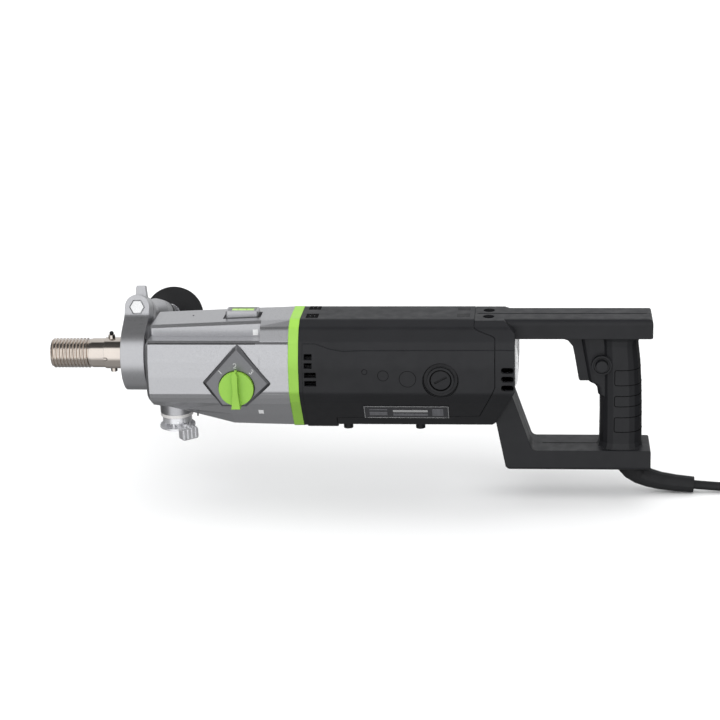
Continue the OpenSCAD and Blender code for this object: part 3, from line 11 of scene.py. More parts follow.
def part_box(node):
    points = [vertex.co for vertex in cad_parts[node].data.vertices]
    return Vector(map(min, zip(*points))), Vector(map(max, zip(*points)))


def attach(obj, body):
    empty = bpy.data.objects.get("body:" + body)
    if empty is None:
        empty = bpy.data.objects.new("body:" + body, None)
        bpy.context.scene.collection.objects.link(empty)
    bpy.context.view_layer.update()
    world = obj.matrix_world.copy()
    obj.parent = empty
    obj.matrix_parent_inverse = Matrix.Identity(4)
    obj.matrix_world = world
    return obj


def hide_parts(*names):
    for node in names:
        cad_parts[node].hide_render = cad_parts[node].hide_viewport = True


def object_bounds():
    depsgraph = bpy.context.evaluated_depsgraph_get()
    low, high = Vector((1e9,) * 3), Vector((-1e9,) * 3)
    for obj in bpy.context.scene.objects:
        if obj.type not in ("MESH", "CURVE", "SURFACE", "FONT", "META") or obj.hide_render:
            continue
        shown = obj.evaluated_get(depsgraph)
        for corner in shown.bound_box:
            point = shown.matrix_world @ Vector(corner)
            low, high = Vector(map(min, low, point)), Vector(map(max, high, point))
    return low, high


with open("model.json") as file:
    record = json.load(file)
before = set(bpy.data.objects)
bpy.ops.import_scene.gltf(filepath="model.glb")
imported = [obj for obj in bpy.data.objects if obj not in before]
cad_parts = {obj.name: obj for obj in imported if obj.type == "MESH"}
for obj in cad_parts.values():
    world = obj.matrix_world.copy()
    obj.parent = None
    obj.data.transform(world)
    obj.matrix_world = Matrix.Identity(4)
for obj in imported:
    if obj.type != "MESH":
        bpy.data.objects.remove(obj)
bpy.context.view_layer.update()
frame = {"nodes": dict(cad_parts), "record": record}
nodes = frame["nodes"]
MM = 0.001
scene = bpy.context.scene

# Camera, solved from the drill's edges; angles in radians, place in metres
FRAME_PX = 720
FOCAL_PX = 1867.79
SENSOR = 36.0
CAMERA_PLACE = Vector((0.478707, -1.846987, 0.612086))
YAW, PITCH, ROLL = 0.08405, 0.32262, -0.02476
SHIFT_PX = 36.0
FAR_CLIP = 50


def add_camera():
    """The photograph's camera: forward starts at +Y, yaw turns it to -X and pitch tips it down."""
    level = math.cos(PITCH)
    forward = Vector((-math.sin(YAW) * level, math.cos(YAW) * level, -math.sin(PITCH)))
    flat = Vector((math.cos(YAW), math.sin(YAW), 0))
    upright = flat.cross(forward)
    right = flat * math.cos(ROLL) + upright * math.sin(ROLL)
    up = upright * math.cos(ROLL) - flat * math.sin(ROLL)
    data = bpy.data.cameras.new("camera")
    data.sensor_width = SENSOR
    data.lens = FOCAL_PX / FRAME_PX * SENSOR
    data.shift_x = -SHIFT_PX / FRAME_PX
    data.clip_end = FAR_CLIP
    camera = bpy.data.objects.new("camera", data)
    turn = Matrix((right, up, -forward)).transposed().to_4x4()
    camera.matrix_world = Matrix.Translation(CAMERA_PLACE) @ turn
    scene.collection.objects.link(camera)
    scene.camera = camera


# Finishes; gloss varies in cells smaller than those of tone by GLOSS_CELLS
BEVEL_SAMPLES = 4
GRAIN_STRENGTH = 0.6
TONE_DETAIL, FINE_DETAIL = 4, 2
GLOSS_CELLS = 3
PLAIN = (1, 1, 1)


def new_material(name):
    material = bpy.data.materials.new(name)
    material.use_nodes = True
    tree = material.node_tree
    tree.nodes.clear()
    out = tree.nodes.new("ShaderNodeOutputMaterial")
    shader = tree.nodes.new("ShaderNodeBsdfPrincipled")
    tree.links.new(shader.outputs[0], out.inputs[0])
    return material, tree, shader


def noise(tree, scale, detail, stretch):
    """Noise in object space, in cells per metre."""
    place = tree.nodes.new("ShaderNodeTexCoord")
    mapping = tree.nodes.new("ShaderNodeMapping")
    mapping.inputs["Scale"].default_value = stretch
    texture = tree.nodes.new("ShaderNodeTexNoise")
    texture.inputs["Scale"].default_value = scale
    texture.inputs["Detail"].default_value = detail
    tree.links.new(place.outputs["Object"], mapping.inputs[0])
    tree.links.new(mapping.outputs[0], texture.inputs["Vector"])
    return texture.outputs["Fac"]


def remap(tree, value, low, high, from_low=0.3, from_high=0.7):
    """Value carried from one range to another; the usual range is that of noise."""
    node = tree.nodes.new("ShaderNodeMapRange")
    node.inputs["From Min"].default_value = from_low
    node.inputs["From Max"].default_value = from_high
    node.inputs["To Min"].default_value = low
    node.inputs["To Max"].default_value = high
    tree.links.new(value, node.inputs["Value"])
    return node.outputs[0]


def mix_colour(tree, fac, dark, light):
    node = tree.nodes.new("ShaderNodeMix")
    node.data_type = "RGBA"
    node.inputs["A"].default_value = (*dark, 1)
    node.inputs["B"].default_value = (*light, 1)
    tree.links.new(fac, node.inputs["Factor"])
    return node.outputs["Result"]


def finish(name, colour, rough, metallic, spread, tone, grain, grain_depth, rough_spread, edge,
           specular, stretch=PLAIN):
    """A finish with drifting tone, uneven gloss, surface grain and softened edges."""
    material, tree, shader = new_material(name)
    dark = tuple(c * (1 - spread) for c in colour)
    light = tuple(min(c * (1 + spread), 1) for c in colour)
    fac = remap(tree, noise(tree, tone, TONE_DETAIL, stretch), 0, 1)
    tree.links.new(mix_colour(tree, fac, dark, light), shader.inputs["Base Color"])
    patches = noise(tree, tone * GLOSS_CELLS, FINE_DETAIL, stretch)
    gloss = remap(tree, patches, rough - rough_spread, rough + rough_spread)
    tree.links.new(gloss, shader.inputs["Roughness"])
    shader.inputs["Metallic"].default_value = metallic
    shader.inputs["Specular IOR Level"].default_value = specular
    bevel = tree.nodes.new("ShaderNodeBevel")
    bevel.samples = BEVEL_SAMPLES
    bevel.inputs["Radius"].default_value = edge
    bump = tree.nodes.new("ShaderNodeBump")
    bump.inputs["Distance"].default_value = grain_depth * MM
    bump.inputs["Strength"].default_value = GRAIN_STRENGTH
    tree.links.new(noise(tree, grain, FINE_DETAIL, stretch), bump.inputs["Height"])
    tree.links.new(bevel.outputs[0], bump.inputs["Normal"])
    tree.links.new(bump.outputs[0], shader.inputs["Normal"])
    return material


# Colour, roughness, metallic, spread of tone, cells of tone and of grain per metre, depth of grain
# in millimetres, spread of roughness, radius of the soft edge in metres, specular
LOOKS = {
    "silver_paint": ((0.50, 0.50, 0.515), 0.30, 0.9, 0.08, 900, 1400, 0.04, 0.04, 0.0007, 0.5),
    "spindle_steel": ((0.72, 0.65, 0.59), 0.13, 1.0, 0.04, 60, 900, 0.0006, 0.02, 0.0003, 0.5),
    "gear_steel": ((0.50, 0.50, 0.52), 0.30, 1.0, 0.08, 60, 900, 0.006, 0.05, 0.0008, 0.5),
    "core_steel": ((0.30, 0.30, 0.32), 0.45, 1.0, 0.15, 60, 2500, 0.03, 0.05, 0.0008, 0.5),
    "chrome": ((0.78, 0.78, 0.80), 0.09, 1.0, 0.03, 30, 600, 0.003, 0.03, 0.0004, 0.5),
    "bright_steel": ((0.80, 0.80, 0.80), 0.28, 0.9, 0.06, 80, 900, 0.005, 0.05, 0.0004, 0.5),
    "black_plastic": ((0.011, 0.0112, 0.013), 0.46, 0.0, 0.10, 30, 2200, 0.03, 0.05, 0.0010, 0.33),
    "black_rubber": ((0.011, 0.011, 0.012), 0.56, 0.0, 0.12, 30, 1800, 0.02, 0.06, 0.0008, 0.3),
    "green_plastic": ((0.29, 0.56, 0.065), 0.40, 0.0, 0.05, 30, 1200, 0.01, 0.04, 0.0008, 0.5),
    "vial_fluid": ((0.44, 0.66, 0.20), 0.12, 0.0, 0.08, 30, 400, 0.001, 0.02, 0.0004, 0.5),
    "copper": ((0.62, 0.27, 0.10), 0.35, 1.0, 0.15, 90, 1500, 0.08, 0.05, 0.0008, 0.5),
    "brass": ((0.70, 0.50, 0.20), 0.30, 1.0, 0.10, 60, 900, 0.01, 0.05, 0.0008, 0.5),
    "plate_foil": ((0.055, 0.055, 0.06), 0.35, 0.4, 0.15, 500, 900, 0.01, 0.05, 0.0008, 0.5),
    "white_mark": ((0.90, 0.90, 0.90), 0.5, 0.0, 0.04, 300, 900, 0.005, 0.05, 0.0008, 0.5),
    "valve_white": ((0.88, 0.86, 0.84), 0.40, 0.2, 0.03, 80, 900, 0.003, 0.04, 0.0004, 0.5),
    "valve_chrome": ((0.84, 0.84, 0.86), 0.24, 0.6, 0.03, 80, 900, 0.003, 0.04, 0.0004, 0.5),
    "deep_black": ((0.002, 0.002, 0.002), 0.70, 0.0, 0.10, 30, 900, 0.005, 0.05, 0.0008, 0.05),
    "plate_paint": ((0.22, 0.22, 0.23), 0.40, 0.9, 0.06, 900, 1400, 0.03, 0.04, 0.0005, 0.5),
}
FLOOR_LOOK = ((0.92, 0.92, 0.92), 0.80, 0.0, 0.004, 2, 300, 0.01, 0.03, 0.0008, 0.1)
# The stator's sheets show as lines across its length
STRETCH = {"core_steel": (20, 1, 1)}
MATERIALS = {name: finish(name, *look, STRETCH.get(name, PLAIN)) for name, look in LOOKS.items()}

NODE_SLOTS = {part["node"]: part["material_slot"] for part in frame["record"]["subparts"]}
# Nodes with a finish of their own under their slot
OTHER_FINISH = {"selector_plate": "plate_paint", "valve_ring": "valve_white",
                "valve_body": "valve_chrome", "water_lever": "valve_chrome"}
CAD_SHARP = math.radians(28)
MADE_SHARP = math.radians(35)


def soften(mesh, sharp):
    mesh.shade_smooth()
    mesh.set_sharp_from_angle(angle=sharp)


def dress_cad():
    for name, obj in nodes.items():
        mesh = obj.data
        mesh.materials.clear()
        mesh.materials.append(MATERIALS[OTHER_FINISH.get(name, NODE_SLOTS[name])])
        soften(mesh, CAD_SHARP)


# Meshes and sweeps
def add_mesh(name, verts, faces, slot, body="drill"):
    mesh = bpy.data.meshes.new(name)
    mesh.from_pydata([Vector(v) for v in verts], [], faces)
    mesh.update()
    obj = bpy.data.objects.new(name, mesh)
    scene.collection.objects.link(obj)
    mesh.materials.append(MATERIALS[slot])
    soften(mesh, MADE_SHARP)
    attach(obj, body)
    return obj


def angles(count):
    return [2 * math.pi * k / count for k in range(count)]


def skin(count, sides, closed):
    """Faces between the rings of a sweep, with flat ends where it is open."""
    faces = []
    for i in range(count if closed else count - 1):
        after = (i + 1) % count
        for j in range(sides):
            k = (j + 1) % sides
            faces.append((i * sides + j, i * sides + k, after * sides + k, after * sides + j))
    if not closed:
        faces.append(tuple(range(sides - 1, -1, -1)))
        faces.append(tuple((count - 1) * sides + j for j in range(sides)))
    return faces


def tube(name, path, radius, sides, slot):
    """Round tube along a path that is never upright."""
    verts = []
    last = len(path) - 1
    for i, p in enumerate(path):
        t = (path[min(i + 1, last)] - path[max(i - 1, 0)]).normalized()
        s = t.cross(Vector((0, 0, 1))).normalized()
        u = s.cross(t)
        verts += [p + radius * (s * math.cos(a) + u * math.sin(a)) for a in angles(sides)]
    return add_mesh(name, verts, skin(len(path), sides, False), slot)


def wire(name, path, radius, slot, body="drill", closed=False, sides=6):
    """Round line along a path; its frame is carried from point to point."""
    verts = []
    n = len(path)
    side = None
    for i, p in enumerate(path):
        after = path[(i + 1) % n] if closed else path[min(i + 1, n - 1)]
        before = path[i - 1] if closed or i else path[0]
        t = (after - before).normalized()
        if side is None:
            side = t.orthogonal().normalized()
        side = (side - t * side.dot(t)).normalized()
        up = t.cross(side)
        verts += [p + radius * (side * math.cos(a) + up * math.sin(a)) for a in angles(sides)]
    add_mesh(name, verts, skin(n, sides, closed), slot, body)


def fair(points, step):
    """Points of a smooth curve through a route, about step metres apart."""
    out = []
    last = len(points) - 1
    for i in range(last):
        a, b, c, d = (points[max(i - 1, 0)], points[i], points[i + 1], points[min(i + 2, last)])
        count = max(1, round((c - b).length / step))
        for k in range(count):
            t = k / count
            out.append(0.5 * (2 * b + (c - a) * t + (2 * a - 5 * b + 4 * c - d) * t * t
                              + (3 * b - a - 3 * c + d) * t ** 3))
    out.append(points[last])
    return out


# Mains cord, in metres: out of its boot, down to the floor, into a coil of four layers, then the plug
CORD_D = 9.5 * MM
FLOOR_Z = -154 * MM
CORD_Z = FLOOR_Z + CORD_D / 2
BOOT_END = Vector((635, 0, -145.5)) * MM
BOOT_AXIS = (Vector((635, 0, -145.5)) - Vector((616, 0, -143.8))).normalized()
IN_BOOT, PAST_BOOT = 9 * MM, 6 * MM
FALL_POINT = Vector((662, 0, -147.6)) * MM
FLOOR_POINTS = (Vector((0.690, 0, CORD_Z)), Vector((0.725, 0, CORD_Z)))
ROUTE_STEP = 0.006
COIL_R = 66 * MM
COIL_X = 775 * MM
LAYERS = 4
LAYER_TURNS = 2.375
CROSS_TURNS = 0.5
WOUND_TURNS = LAYERS * LAYER_TURNS + (LAYERS - 1) * CROSS_TURNS
PITCH_R = CORD_D + 0.9 * MM
# The crossing from one layer to the next swings out or in by BULGE
BULGE = 3.2 * MM
# The exit leaves the coil sideways first, then comes down to the floor, then rises to the plug's axis
EXIT_TURNS = 0.42
EXIT_OUT = CORD_D + 8 * MM
EXIT_RATE = 1.8
FALL_FROM, FALL_SPAN = 0.1, 0.6
RISE_FROM, RISE_SPAN = 0.7, 0.3
PLUG_RISE = 18.5 * MM - CORD_D / 2
STEPS_PER_TURN = 36
CORD_SIDES = 14


def ease(t):
    return (1 - math.cos(math.pi * max(min(t, 1), 0))) / 2


def coil_point(n):
    """Point of the coil after n turns: four layers that spiral in, out, in and out."""
    unit_turns = LAYER_TURNS + CROSS_TURNS
    inner = COIL_R - LAYER_TURNS * PITCH_R
    m = min(n, WOUND_TURNS)
    k = min(int(m / unit_turns), LAYERS - 1)
    f = m - k * unit_turns
    s = 0 if f <= LAYER_TURNS else (f - LAYER_TURNS) / CROSS_TURNS
    go = PITCH_R * min(f, LAYER_TURNS)
    inward = k % 2 == 0
    r = (COIL_R - go if inward else inner + go) + (-1 if inward else 1) * BULGE * math.sin(math.pi * s)
    z = k * PITCH_R + PITCH_R * (1 - math.cos(math.pi * s)) / 2
    e = max(n - WOUND_TURNS, 0) / EXIT_TURNS
    r += EXIT_OUT * ease(EXIT_RATE * e)
    z += (PLUG_RISE * ease((e - RISE_FROM) / RISE_SPAN)
          - (LAYERS - 1) * PITCH_R * ease((e - FALL_FROM) / FALL_SPAN))
    a = 2 * math.pi * n - math.pi / 2
    return Vector((COIL_X + r * math.cos(a), COIL_R + r * math.sin(a), CORD_Z + z))


def add_cord():
    start = BOOT_END - IN_BOOT * BOOT_AXIS
    route = [start, BOOT_END + PAST_BOOT * BOOT_AXIS, FALL_POINT, *FLOOR_POINTS,
             Vector((COIL_X, 0, CORD_Z))]
    steps = math.ceil((WOUND_TURNS + EXIT_TURNS) * STEPS_PER_TURN)
    wound = [coil_point(k / STEPS_PER_TURN) for k in range(1, steps + 1)]
    last = Vector(wound[-1])
    way = last - wound[-2]
    way.z = 0
    way.normalize()
    path = fair(route, ROUTE_STEP) + wound + [last + CORD_D * way]
    cord = tube("mains_cord", path, CORD_D / 2, CORD_SIDES, "black_rubber")
    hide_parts("cord", "coil")


# Lines and sheets laid on the CAD surfaces; their outlines are in millimetres
RAY_FROM = 0.3
LINE_STEP = 2.0
SHEET_DEPTH = 0.15
SIDE_COLS, SIDE_ROWS = 6, 4
RING_POINTS = 48


def surface(*names):
    """Ray target made of the named nodes."""
    verts, faces = [], []
    for name in names:
        mesh = nodes[name].data
        base = len(verts)
        verts += [v.co.copy() for v in mesh.vertices]
        faces += [tuple(base + i for i in p.vertices) for p in mesh.polygons]
    return BVHTree.FromPolygons(verts, faces)


def land(target, start, way):
    """Where a ray from start along way meets the target, and the normal there, facing the ray."""
    way = Vector(way).normalized()
    hit, normal, _, _ = target.ray_cast(Vector(start), way)
    if hit is None:
        raise ValueError("nothing under the ray from %s" % (tuple(start),))
    return hit, (-normal if normal.dot(way) > 0 else normal)


def land_top(target, x, y, z=RAY_FROM / MM):
    """Landing straight down at x, y; all in millimetres."""
    return land(target, (x * MM, y * MM, z * MM), (0, 0, -1))


def land_side(target, x, z):
    """Landing from the selector's side at x, z; all in millimetres."""
    return land(target, (x * MM, -RAY_FROM, z * MM), (0, 1, 0))


def three(low, high):
    return low, (low + high) / 2, high


def dense(points, step, closed=False):
    """Points along straight pieces of an outline, no more than step apart."""
    ring = list(points) + ([points[0]] if closed else [])
    out = []
    for a, b in zip(ring, ring[1:]):
        a, b = Vector(a), Vector(b)
        count = max(1, math.ceil((b - a).length / step))
        out += [a.lerp(b, k / count) for k in range(count)]
    return out if closed else out + [Vector(ring[-1])]


def circle(x, z, r, count=32):
    return [(x + r * math.cos(a), z + r * math.sin(a)) for a in angles(count)]


def x_ring(x, y, z, r, count):
    """Ring around a line along X, in metres."""
    return [Vector((x, y + r * math.cos(a), z + r * math.sin(a))) for a in angles(count)]


def rounded_box(x0, z0, x1, z1, r, steps=4):
    corners = ((x1 - r, z1 - r, 0), (x0 + r, z1 - r, 90), (x0 + r, z0 + r, 180), (x1 - r, z0 + r, 270))
    out = []
    for cx, cz, start in corners:
        for k in range(steps + 1):
            a = math.radians(start + 90 * k / steps)
            out.append((cx + r * math.cos(a), cz + r * math.sin(a)))
    return out


def side_line(name, outline, target, radius, slot="black_rubber", body="drill", closed=True, lift=0.0):
    """Line on the selector's side, from an outline of (x, z)."""
    path = []
    for p in dense([(x, 0, z) for x, z in outline], LINE_STEP, closed):
        hit, normal = land_side(target, p.x, p.z)
        path.append(hit + normal * lift * MM)
    wire(name, path, radius * MM, slot, body, closed)


def patch(name, grid, thick, slot):
    """Thin closed sheet over a grid of (point, normal) rows, raised by thick millimetres."""
    rows, cols = len(grid), len(grid[0])
    top = [p + n * thick * MM for row in grid for p, n in row]
    low = [p - n * SHEET_DEPTH * MM for row in grid for p, n in row]
    size = rows * cols
    faces = []
    for r in range(rows - 1):
        for c in range(cols - 1):
            a, b = r * cols + c, r * cols + c + 1
            faces.append((a, b, b + cols, a + cols))
            faces.append((size + a, size + a + cols, size + b + cols, size + b))
    rim = list(range(cols)) + [r * cols + cols - 1 for r in range(1, rows)]
    rim += [(rows - 1) * cols + c for c in range(cols - 2, -1, -1)]
    rim += [r * cols for r in range(rows - 2, 0, -1)]
    for a, b in zip(rim, rim[1:] + rim[:1]):
        faces.append((b, a, size + a, size + b))
    piece = add_mesh(name, top + low, faces, slot)
    mesh = bmesh.new()
    mesh.from_mesh(piece.data)
    bmesh.ops.recalc_face_normals(mesh, faces=mesh.faces)
    mesh.to_mesh(piece.data)
    mesh.free()


def side_patch(name, x0, z0, x1, z1, target, thick, slot):
    grid = [[land_side(target, x0 + (x1 - x0) * c / SIDE_COLS, z0 + (z1 - z0) * r / SIDE_ROWS)
             for c in range(SIDE_COLS + 1)] for r in range(SIDE_ROWS + 1)]
    patch(name, grid, thick, slot)


def top_patch(name, x0, y0, x1, y1, target, thick, slot):
    grid = [[land_top(target, x, y) for x in three(x0, x1)] for y in three(y0, y1)]
    patch(name, grid, thick, slot)


# Core bit thread: 1 1/4 inch, 7 turns to the inch
THREAD_D = 31.75 * MM
THREAD_LEN = 41 * MM
PITCH_LEN = 25.4 / 7 * MM
CREST_R = THREAD_D / 2
ROOT_R = 13.75 * MM
# Radii at which the groove runs out, at the shoulder and at the front end
RELIEF_R = 14.6 * MM
START_R = 13.9 * MM
CREST_DROP, ROOT_RISE = 0.35 * MM, 0.25 * MM
# Share of the pitch and radius
THREAD_PROFILE = ((0.0, CREST_R), (0.20, CREST_R), (0.27, CREST_R - CREST_DROP), (0.43, ROOT_R + ROOT_RISE),
                  (0.50, ROOT_R), (0.70, ROOT_R), (0.77, ROOT_R + ROOT_RISE), (0.93, CREST_R - CREST_DROP))
THREAD_SIDES = 64
# The plain cylinder of the CAD mesh lies in front of CUT_X and outside CUT_R
CUT_X, CUT_R = 0.5 * MM, 12 * MM
WELD, SLIVER = 0.002 * MM, 0.001 * MM


def thread_skin():
    """Vertices and faces of the thread, as one strip that winds along the spindle."""
    steps, count = len(THREAD_PROFILE), THREAD_SIDES
    rows = int(THREAD_LEN / PITCH_LEN + 3) * steps
    verts, faces = [], []
    for i in range(rows):
        share, r = THREAD_PROFILE[i % steps]
        for j in range(count):
            x = -THREAD_LEN + PITCH_LEN * (i // steps - 1 + share + j / count)
            x = min(max(x, -THREAD_LEN), 0)
            a = 2 * math.pi * j / count
            r_here = min(r, START_R + (x + THREAD_LEN), RELIEF_R - x)
            verts.append((x, r_here * math.cos(a), r_here * math.sin(a)))
    for i in range(rows - steps):
        for j in range(count):
            across = j < count - 1
            nxt = i * count + j + 1 if across else (i + steps) * count
            up = (i + 1) * count + j
            up_nxt = (i + 1) * count + j + 1 if across else (i + steps + 1) * count
            if i + steps + 1 < rows or across:
                faces.append((i * count + j, up, up_nxt, nxt))
    return verts, faces


def drop_loose(mesh):
    loose = [v for v in mesh.verts if not v.link_faces]
    bmesh.ops.delete(mesh, geom=loose, context="VERTS")


def add_thread():
    """Spindle with its right-handed thread; the rest is the CAD mesh."""
    verts, faces = thread_skin()
    mesh = bmesh.new()
    made = [mesh.verts.new(v) for v in verts]
    for face in faces:
        mesh.faces.new([made[k] for k in face])
    bmesh.ops.remove_doubles(mesh, verts=mesh.verts, dist=WELD)
    bmesh.ops.dissolve_degenerate(mesh, edges=mesh.edges, dist=SLIVER)
    drop_loose(mesh)
    kept = nodes["spindle"].data
    base = [mesh.verts.new(v.co) for v in kept.vertices]
    for poly in kept.polygons:
        corners = [kept.vertices[k].co for k in poly.vertices]
        if all(c.x < CUT_X and math.hypot(c.y, c.z) > CUT_R for c in corners):
            continue
        mesh.faces.new([base[k] for k in poly.vertices])
    drop_loose(mesh)
    bmesh.ops.remove_doubles(mesh, verts=mesh.verts, dist=WELD)
    bmesh.ops.recalc_face_normals(mesh, faces=mesh.faces)
    data = bpy.data.meshes.new("threaded_spindle")
    mesh.to_mesh(data)
    mesh.free()
    piece = bpy.data.objects.new("threaded_spindle", data)
    scene.collection.objects.link(piece)
    data.materials.append(MATERIALS["spindle_steel"])
    soften(data, CAD_SHARP)
    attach(piece, "spindle")
    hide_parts("spindle")


# Selector's numerals as strokes around their middle, then their places: x, z and turn in degrees
FIGURES = {
    "1": [(-0.5, 0.9), (0.1, 1.4), (0.1, -1.4)],
    "2": [(-0.8, 0.8), (-0.5, 1.3), (0.1, 1.45), (0.7, 1.2), (0.85, 0.65), (0.6, 0.0),
          (-0.85, -1.4), (0.9, -1.4)],
    "3": [(-0.8, 1.1), (-0.3, 1.45), (0.4, 1.4), (0.75, 0.9), (0.5, 0.3), (-0.1, 0.1),
          (0.6, -0.1), (0.85, -0.7), (0.5, -1.3), (-0.2, -1.45), (-0.8, -1.1)],
}
FIGURE_PLACES = (("1", 145.9, -3.5, 42), ("2", 161.4, 3.4, 0), ("3", 178.2, -3.1, -42))
FIGURE_SCALE = 1.75
FIGURE_R = 0.32
KNOB_Z = -20.6
# Radius of a black ring of painted shade in the gap around the selector knob
KNOB_GAP_R = 18.45
# Two bare tags: x and z of opposite corners
TAGS = (("tag_upper", 177.6, 27.8, 183.3, 34.4), ("tag_lower", 181.3, -55.2, 186.8, -49.8))


def middle(name):
    """Middle of a node's box in millimetres."""
    low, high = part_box(name)
    return [(a + b) / 2 / MM for a, b in zip(low, high)]


def add_housing_marks():
    gear = surface("gear_housing")
    plate = surface("selector_plate")
    for key, x, z, turn in FIGURE_PLACES:
        c, s = math.cos(math.radians(turn)), math.sin(math.radians(turn))
        line = [(x + FIGURE_SCALE * (px * c - pz * s), z + FIGURE_SCALE * (px * s + pz * c))
                for px, pz in FIGURES[key]]
        side_line("figure_" + key, line, plate, FIGURE_R, "white_mark", closed=False, lift=-0.1)
    knob_x = middle("selector_knob")[0]
    # Painted shade: a black ring in the gap around the knob
    side_line("knob_gap_shade", circle(knob_x, KNOB_Z, KNOB_GAP_R, RING_POINTS), plate, radius=0.55, lift=0.05)
    for name, x0, z0, x1, z1 in TAGS:
        side_patch(name, x0, z0, x1, z1, gear, thick=0.12, slot="white_mark")


DIMPLE_X, DIMPLE_Y, DIMPLE_R = 110.7, 4.4, 0.5
DIMPLE_POINTS = 12
PIN_X, PIN_Y, PIN_R = 113.9, -20, 0.8
PIN_SIDES = 12
# Heights of the pin's rings over its foot
PIN_RISE = (1.0, 0, -1.6, -3.0)


def add_small_pins():
    """Dark dimple on top of the gear housing, and the small pin under it."""
    gear = surface("gear_housing")
    ring = [land_top(gear, DIMPLE_X + DIMPLE_R * math.cos(a), DIMPLE_Y + DIMPLE_R * math.sin(a))[0]
            for a in angles(DIMPLE_POINTS)]
    wire("top_dimple", ring, radius=0.4 * MM, slot="black_rubber", closed=True)
    foot, _ = land(gear, (PIN_X * MM, PIN_Y * MM, -RAY_FROM), (0, 0, 1))
    path = [foot + Vector((0, 0, rise * MM)) for rise in PIN_RISE]
    wire("housing_pin", path, PIN_R * MM, "black_rubber", sides=PIN_SIDES)


# Key slot with a round rear end, its arc in degrees from the top, and the collar's step
KEY_X0, KEY_X1, KEY_Z, KEY_R = 16.5, 18.5, -2, 1.6
KEY_ARC = range(20, 181, 20)
COLLAR_X, COLLAR_R = 16.25, 15.6
COLLAR_POINTS = 64


def add_spindle_lines():
    """Dark outline of the key slot and of the collar's step."""
    outline = [(KEY_X0, KEY_Z + KEY_R), (KEY_X1, KEY_Z + KEY_R)]
    outline += [(KEY_X1 + KEY_R * math.sin(math.radians(a)), KEY_Z + KEY_R * math.cos(math.radians(a)))
                for a in KEY_ARC]
    outline += [(KEY_X0, KEY_Z - KEY_R)]
    side_line("key_outline", outline, surface("spindle"), radius=0.30, body="spindle", closed=False)
    ring = x_ring(COLLAR_X * MM, 0, 0, COLLAR_R * MM, COLLAR_POINTS)
    wire("collar_line", ring, radius=0.22 * MM, slot="black_rubber", body="spindle", closed=True)


# Mould marks as x, z and radius; top tabs and vent slots as spans of y, the slots to get black sheets of
# painted shade;
# rings of painted shade around the near brush cap as name, radius, radius of the line and lift
MOULD_MARKS = ((294.8, -2.8, 2.7), (313.8, -6.8, 5.5), (338.8, -10.3, 8.5))
TAB_X0, TAB_X1 = 388.2, 401.4
TAB_SPANS = ((-15.5, -4.0), (8.0, 17.8))
VENT_X, VENT_STEP, VENT_W = 232.2, 4.5, 3.5
VENT_COUNT = 3
VENT_SPANS = ((-18.5, -5.1), (10.4, 23.4))
CAP_RINGS = (("cap_gap_shade", 10.9, 0.55, -0.15), ("cap_step_shade", 17.6, 0.30, -0.05))


def add_motor_marks():
    motor = surface("motor_housing")
    for k, (x, z, r) in enumerate(MOULD_MARKS):
        side_line("mould_mark_%d" % k, circle(x, z, r), motor, radius=0.26, slot="deep_black", lift=-0.06)
    for k, (y0, y1) in enumerate(TAB_SPANS):
        top_patch("top_tab_%d" % k, TAB_X0, y0, TAB_X1, y1, motor, thick=0.05, slot="black_rubber")


def add_motor_vents():
    """Painted shade: black sheets in the three slots of each top vent, and black rings in the gaps around
    the near brush cap.
    """
    motor = surface("motor_housing")
    # Black sheets of painted shade where the vent slots lie in shadow
    for row, (y0, y1) in enumerate(VENT_SPANS):
        for k in range(VENT_COUNT):
            x0 = VENT_X + VENT_STEP * k
            top_patch("vent_painted_shade_%d_%d" % (row, k), x0, y0, x0 + VENT_W, y1, motor, thick=0.15,
                      slot="deep_black")
    # Black rings of painted shade in the gaps around the brush cap
    x, _, z = middle("brush_caps")
    for name, r, radius, lift in CAP_RINGS:
        side_line(name, circle(x, z, r, RING_POINTS), motor, radius, "deep_black", lift=lift)


# Parting lines of the handle shells: both ends' x and the height that the rays start from
SEAMS = (("seam_upper", 409, 586, 90), ("seam_lower", 476, 537, -60))
SEAM_POINTS = 40
# Just beside the parting plane, so that the rays meet a shell and not the gap
SEAM_Y = -0.3
# Painted shade under the rail: both ends' x and the height of a black line along the channel
RAIL_X0, RAIL_X1, RAIL_Z = 70.5, 182.5, 24.4
# Painted shade in the gap behind the clamp ring: radius, and degrees up from the near side
CLAMP_SHADE_R = 38.3
CLAMP_SHADE_ARC = range(-115, 41, 5)


def add_seams():
    """Parting lines on both bars, and black lines of painted shade in the channel under the rail and in the
    gap behind the clamp ring.
    """
    shells = surface("near_shell", "far_shell")
    for name, x0, x1, z in SEAMS:
        path = [land_top(shells, x0 + (x1 - x0) * k / SEAM_POINTS, SEAM_Y, z)[0]
                for k in range(SEAM_POINTS + 1)]
        wire(name, path, radius=0.28 * MM, slot="deep_black")
    # Painted shade: a black line where the channel under the rail lies in shadow
    side_line("rail_channel_shade", [(RAIL_X0, RAIL_Z), (RAIL_X1, RAIL_Z)], surface("gear_housing"),
              radius=0.8, slot="deep_black", closed=False, lift=-0.3)
    # Painted shade: a black arc at the clamp ring's rear face, where the gap behind it lies in shadow
    rear_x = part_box("clamp_ring")[1][0]
    ring = []
    for a in CLAMP_SHADE_ARC:
        c, s = math.cos(math.radians(a)), math.sin(math.radians(a))
        ring.append(Vector((rear_x, -CLAMP_SHADE_R * MM * c, CLAMP_SHADE_R * MM * s)))
    wire("clamp_gap_shade", ring, radius=0.6 * MM, slot="deep_black", body="clamp")


# The grip's inlays wrap around its rear, from the near side to the far side
GRIP_X, GRIP_R = 557, 21
INLAY_FRONT_X, INLAY_FRONT_Y = 550, -19
INLAY_HEIGHTS = ((-28.7, -12.2), (-51.8, -40.4), (-79.9, -63.8))
INLAY_CORNER = 2.0
INLAY_STEP = 1.6
SHELL_GAP = 0.4
GRIP_RAY = 0.06


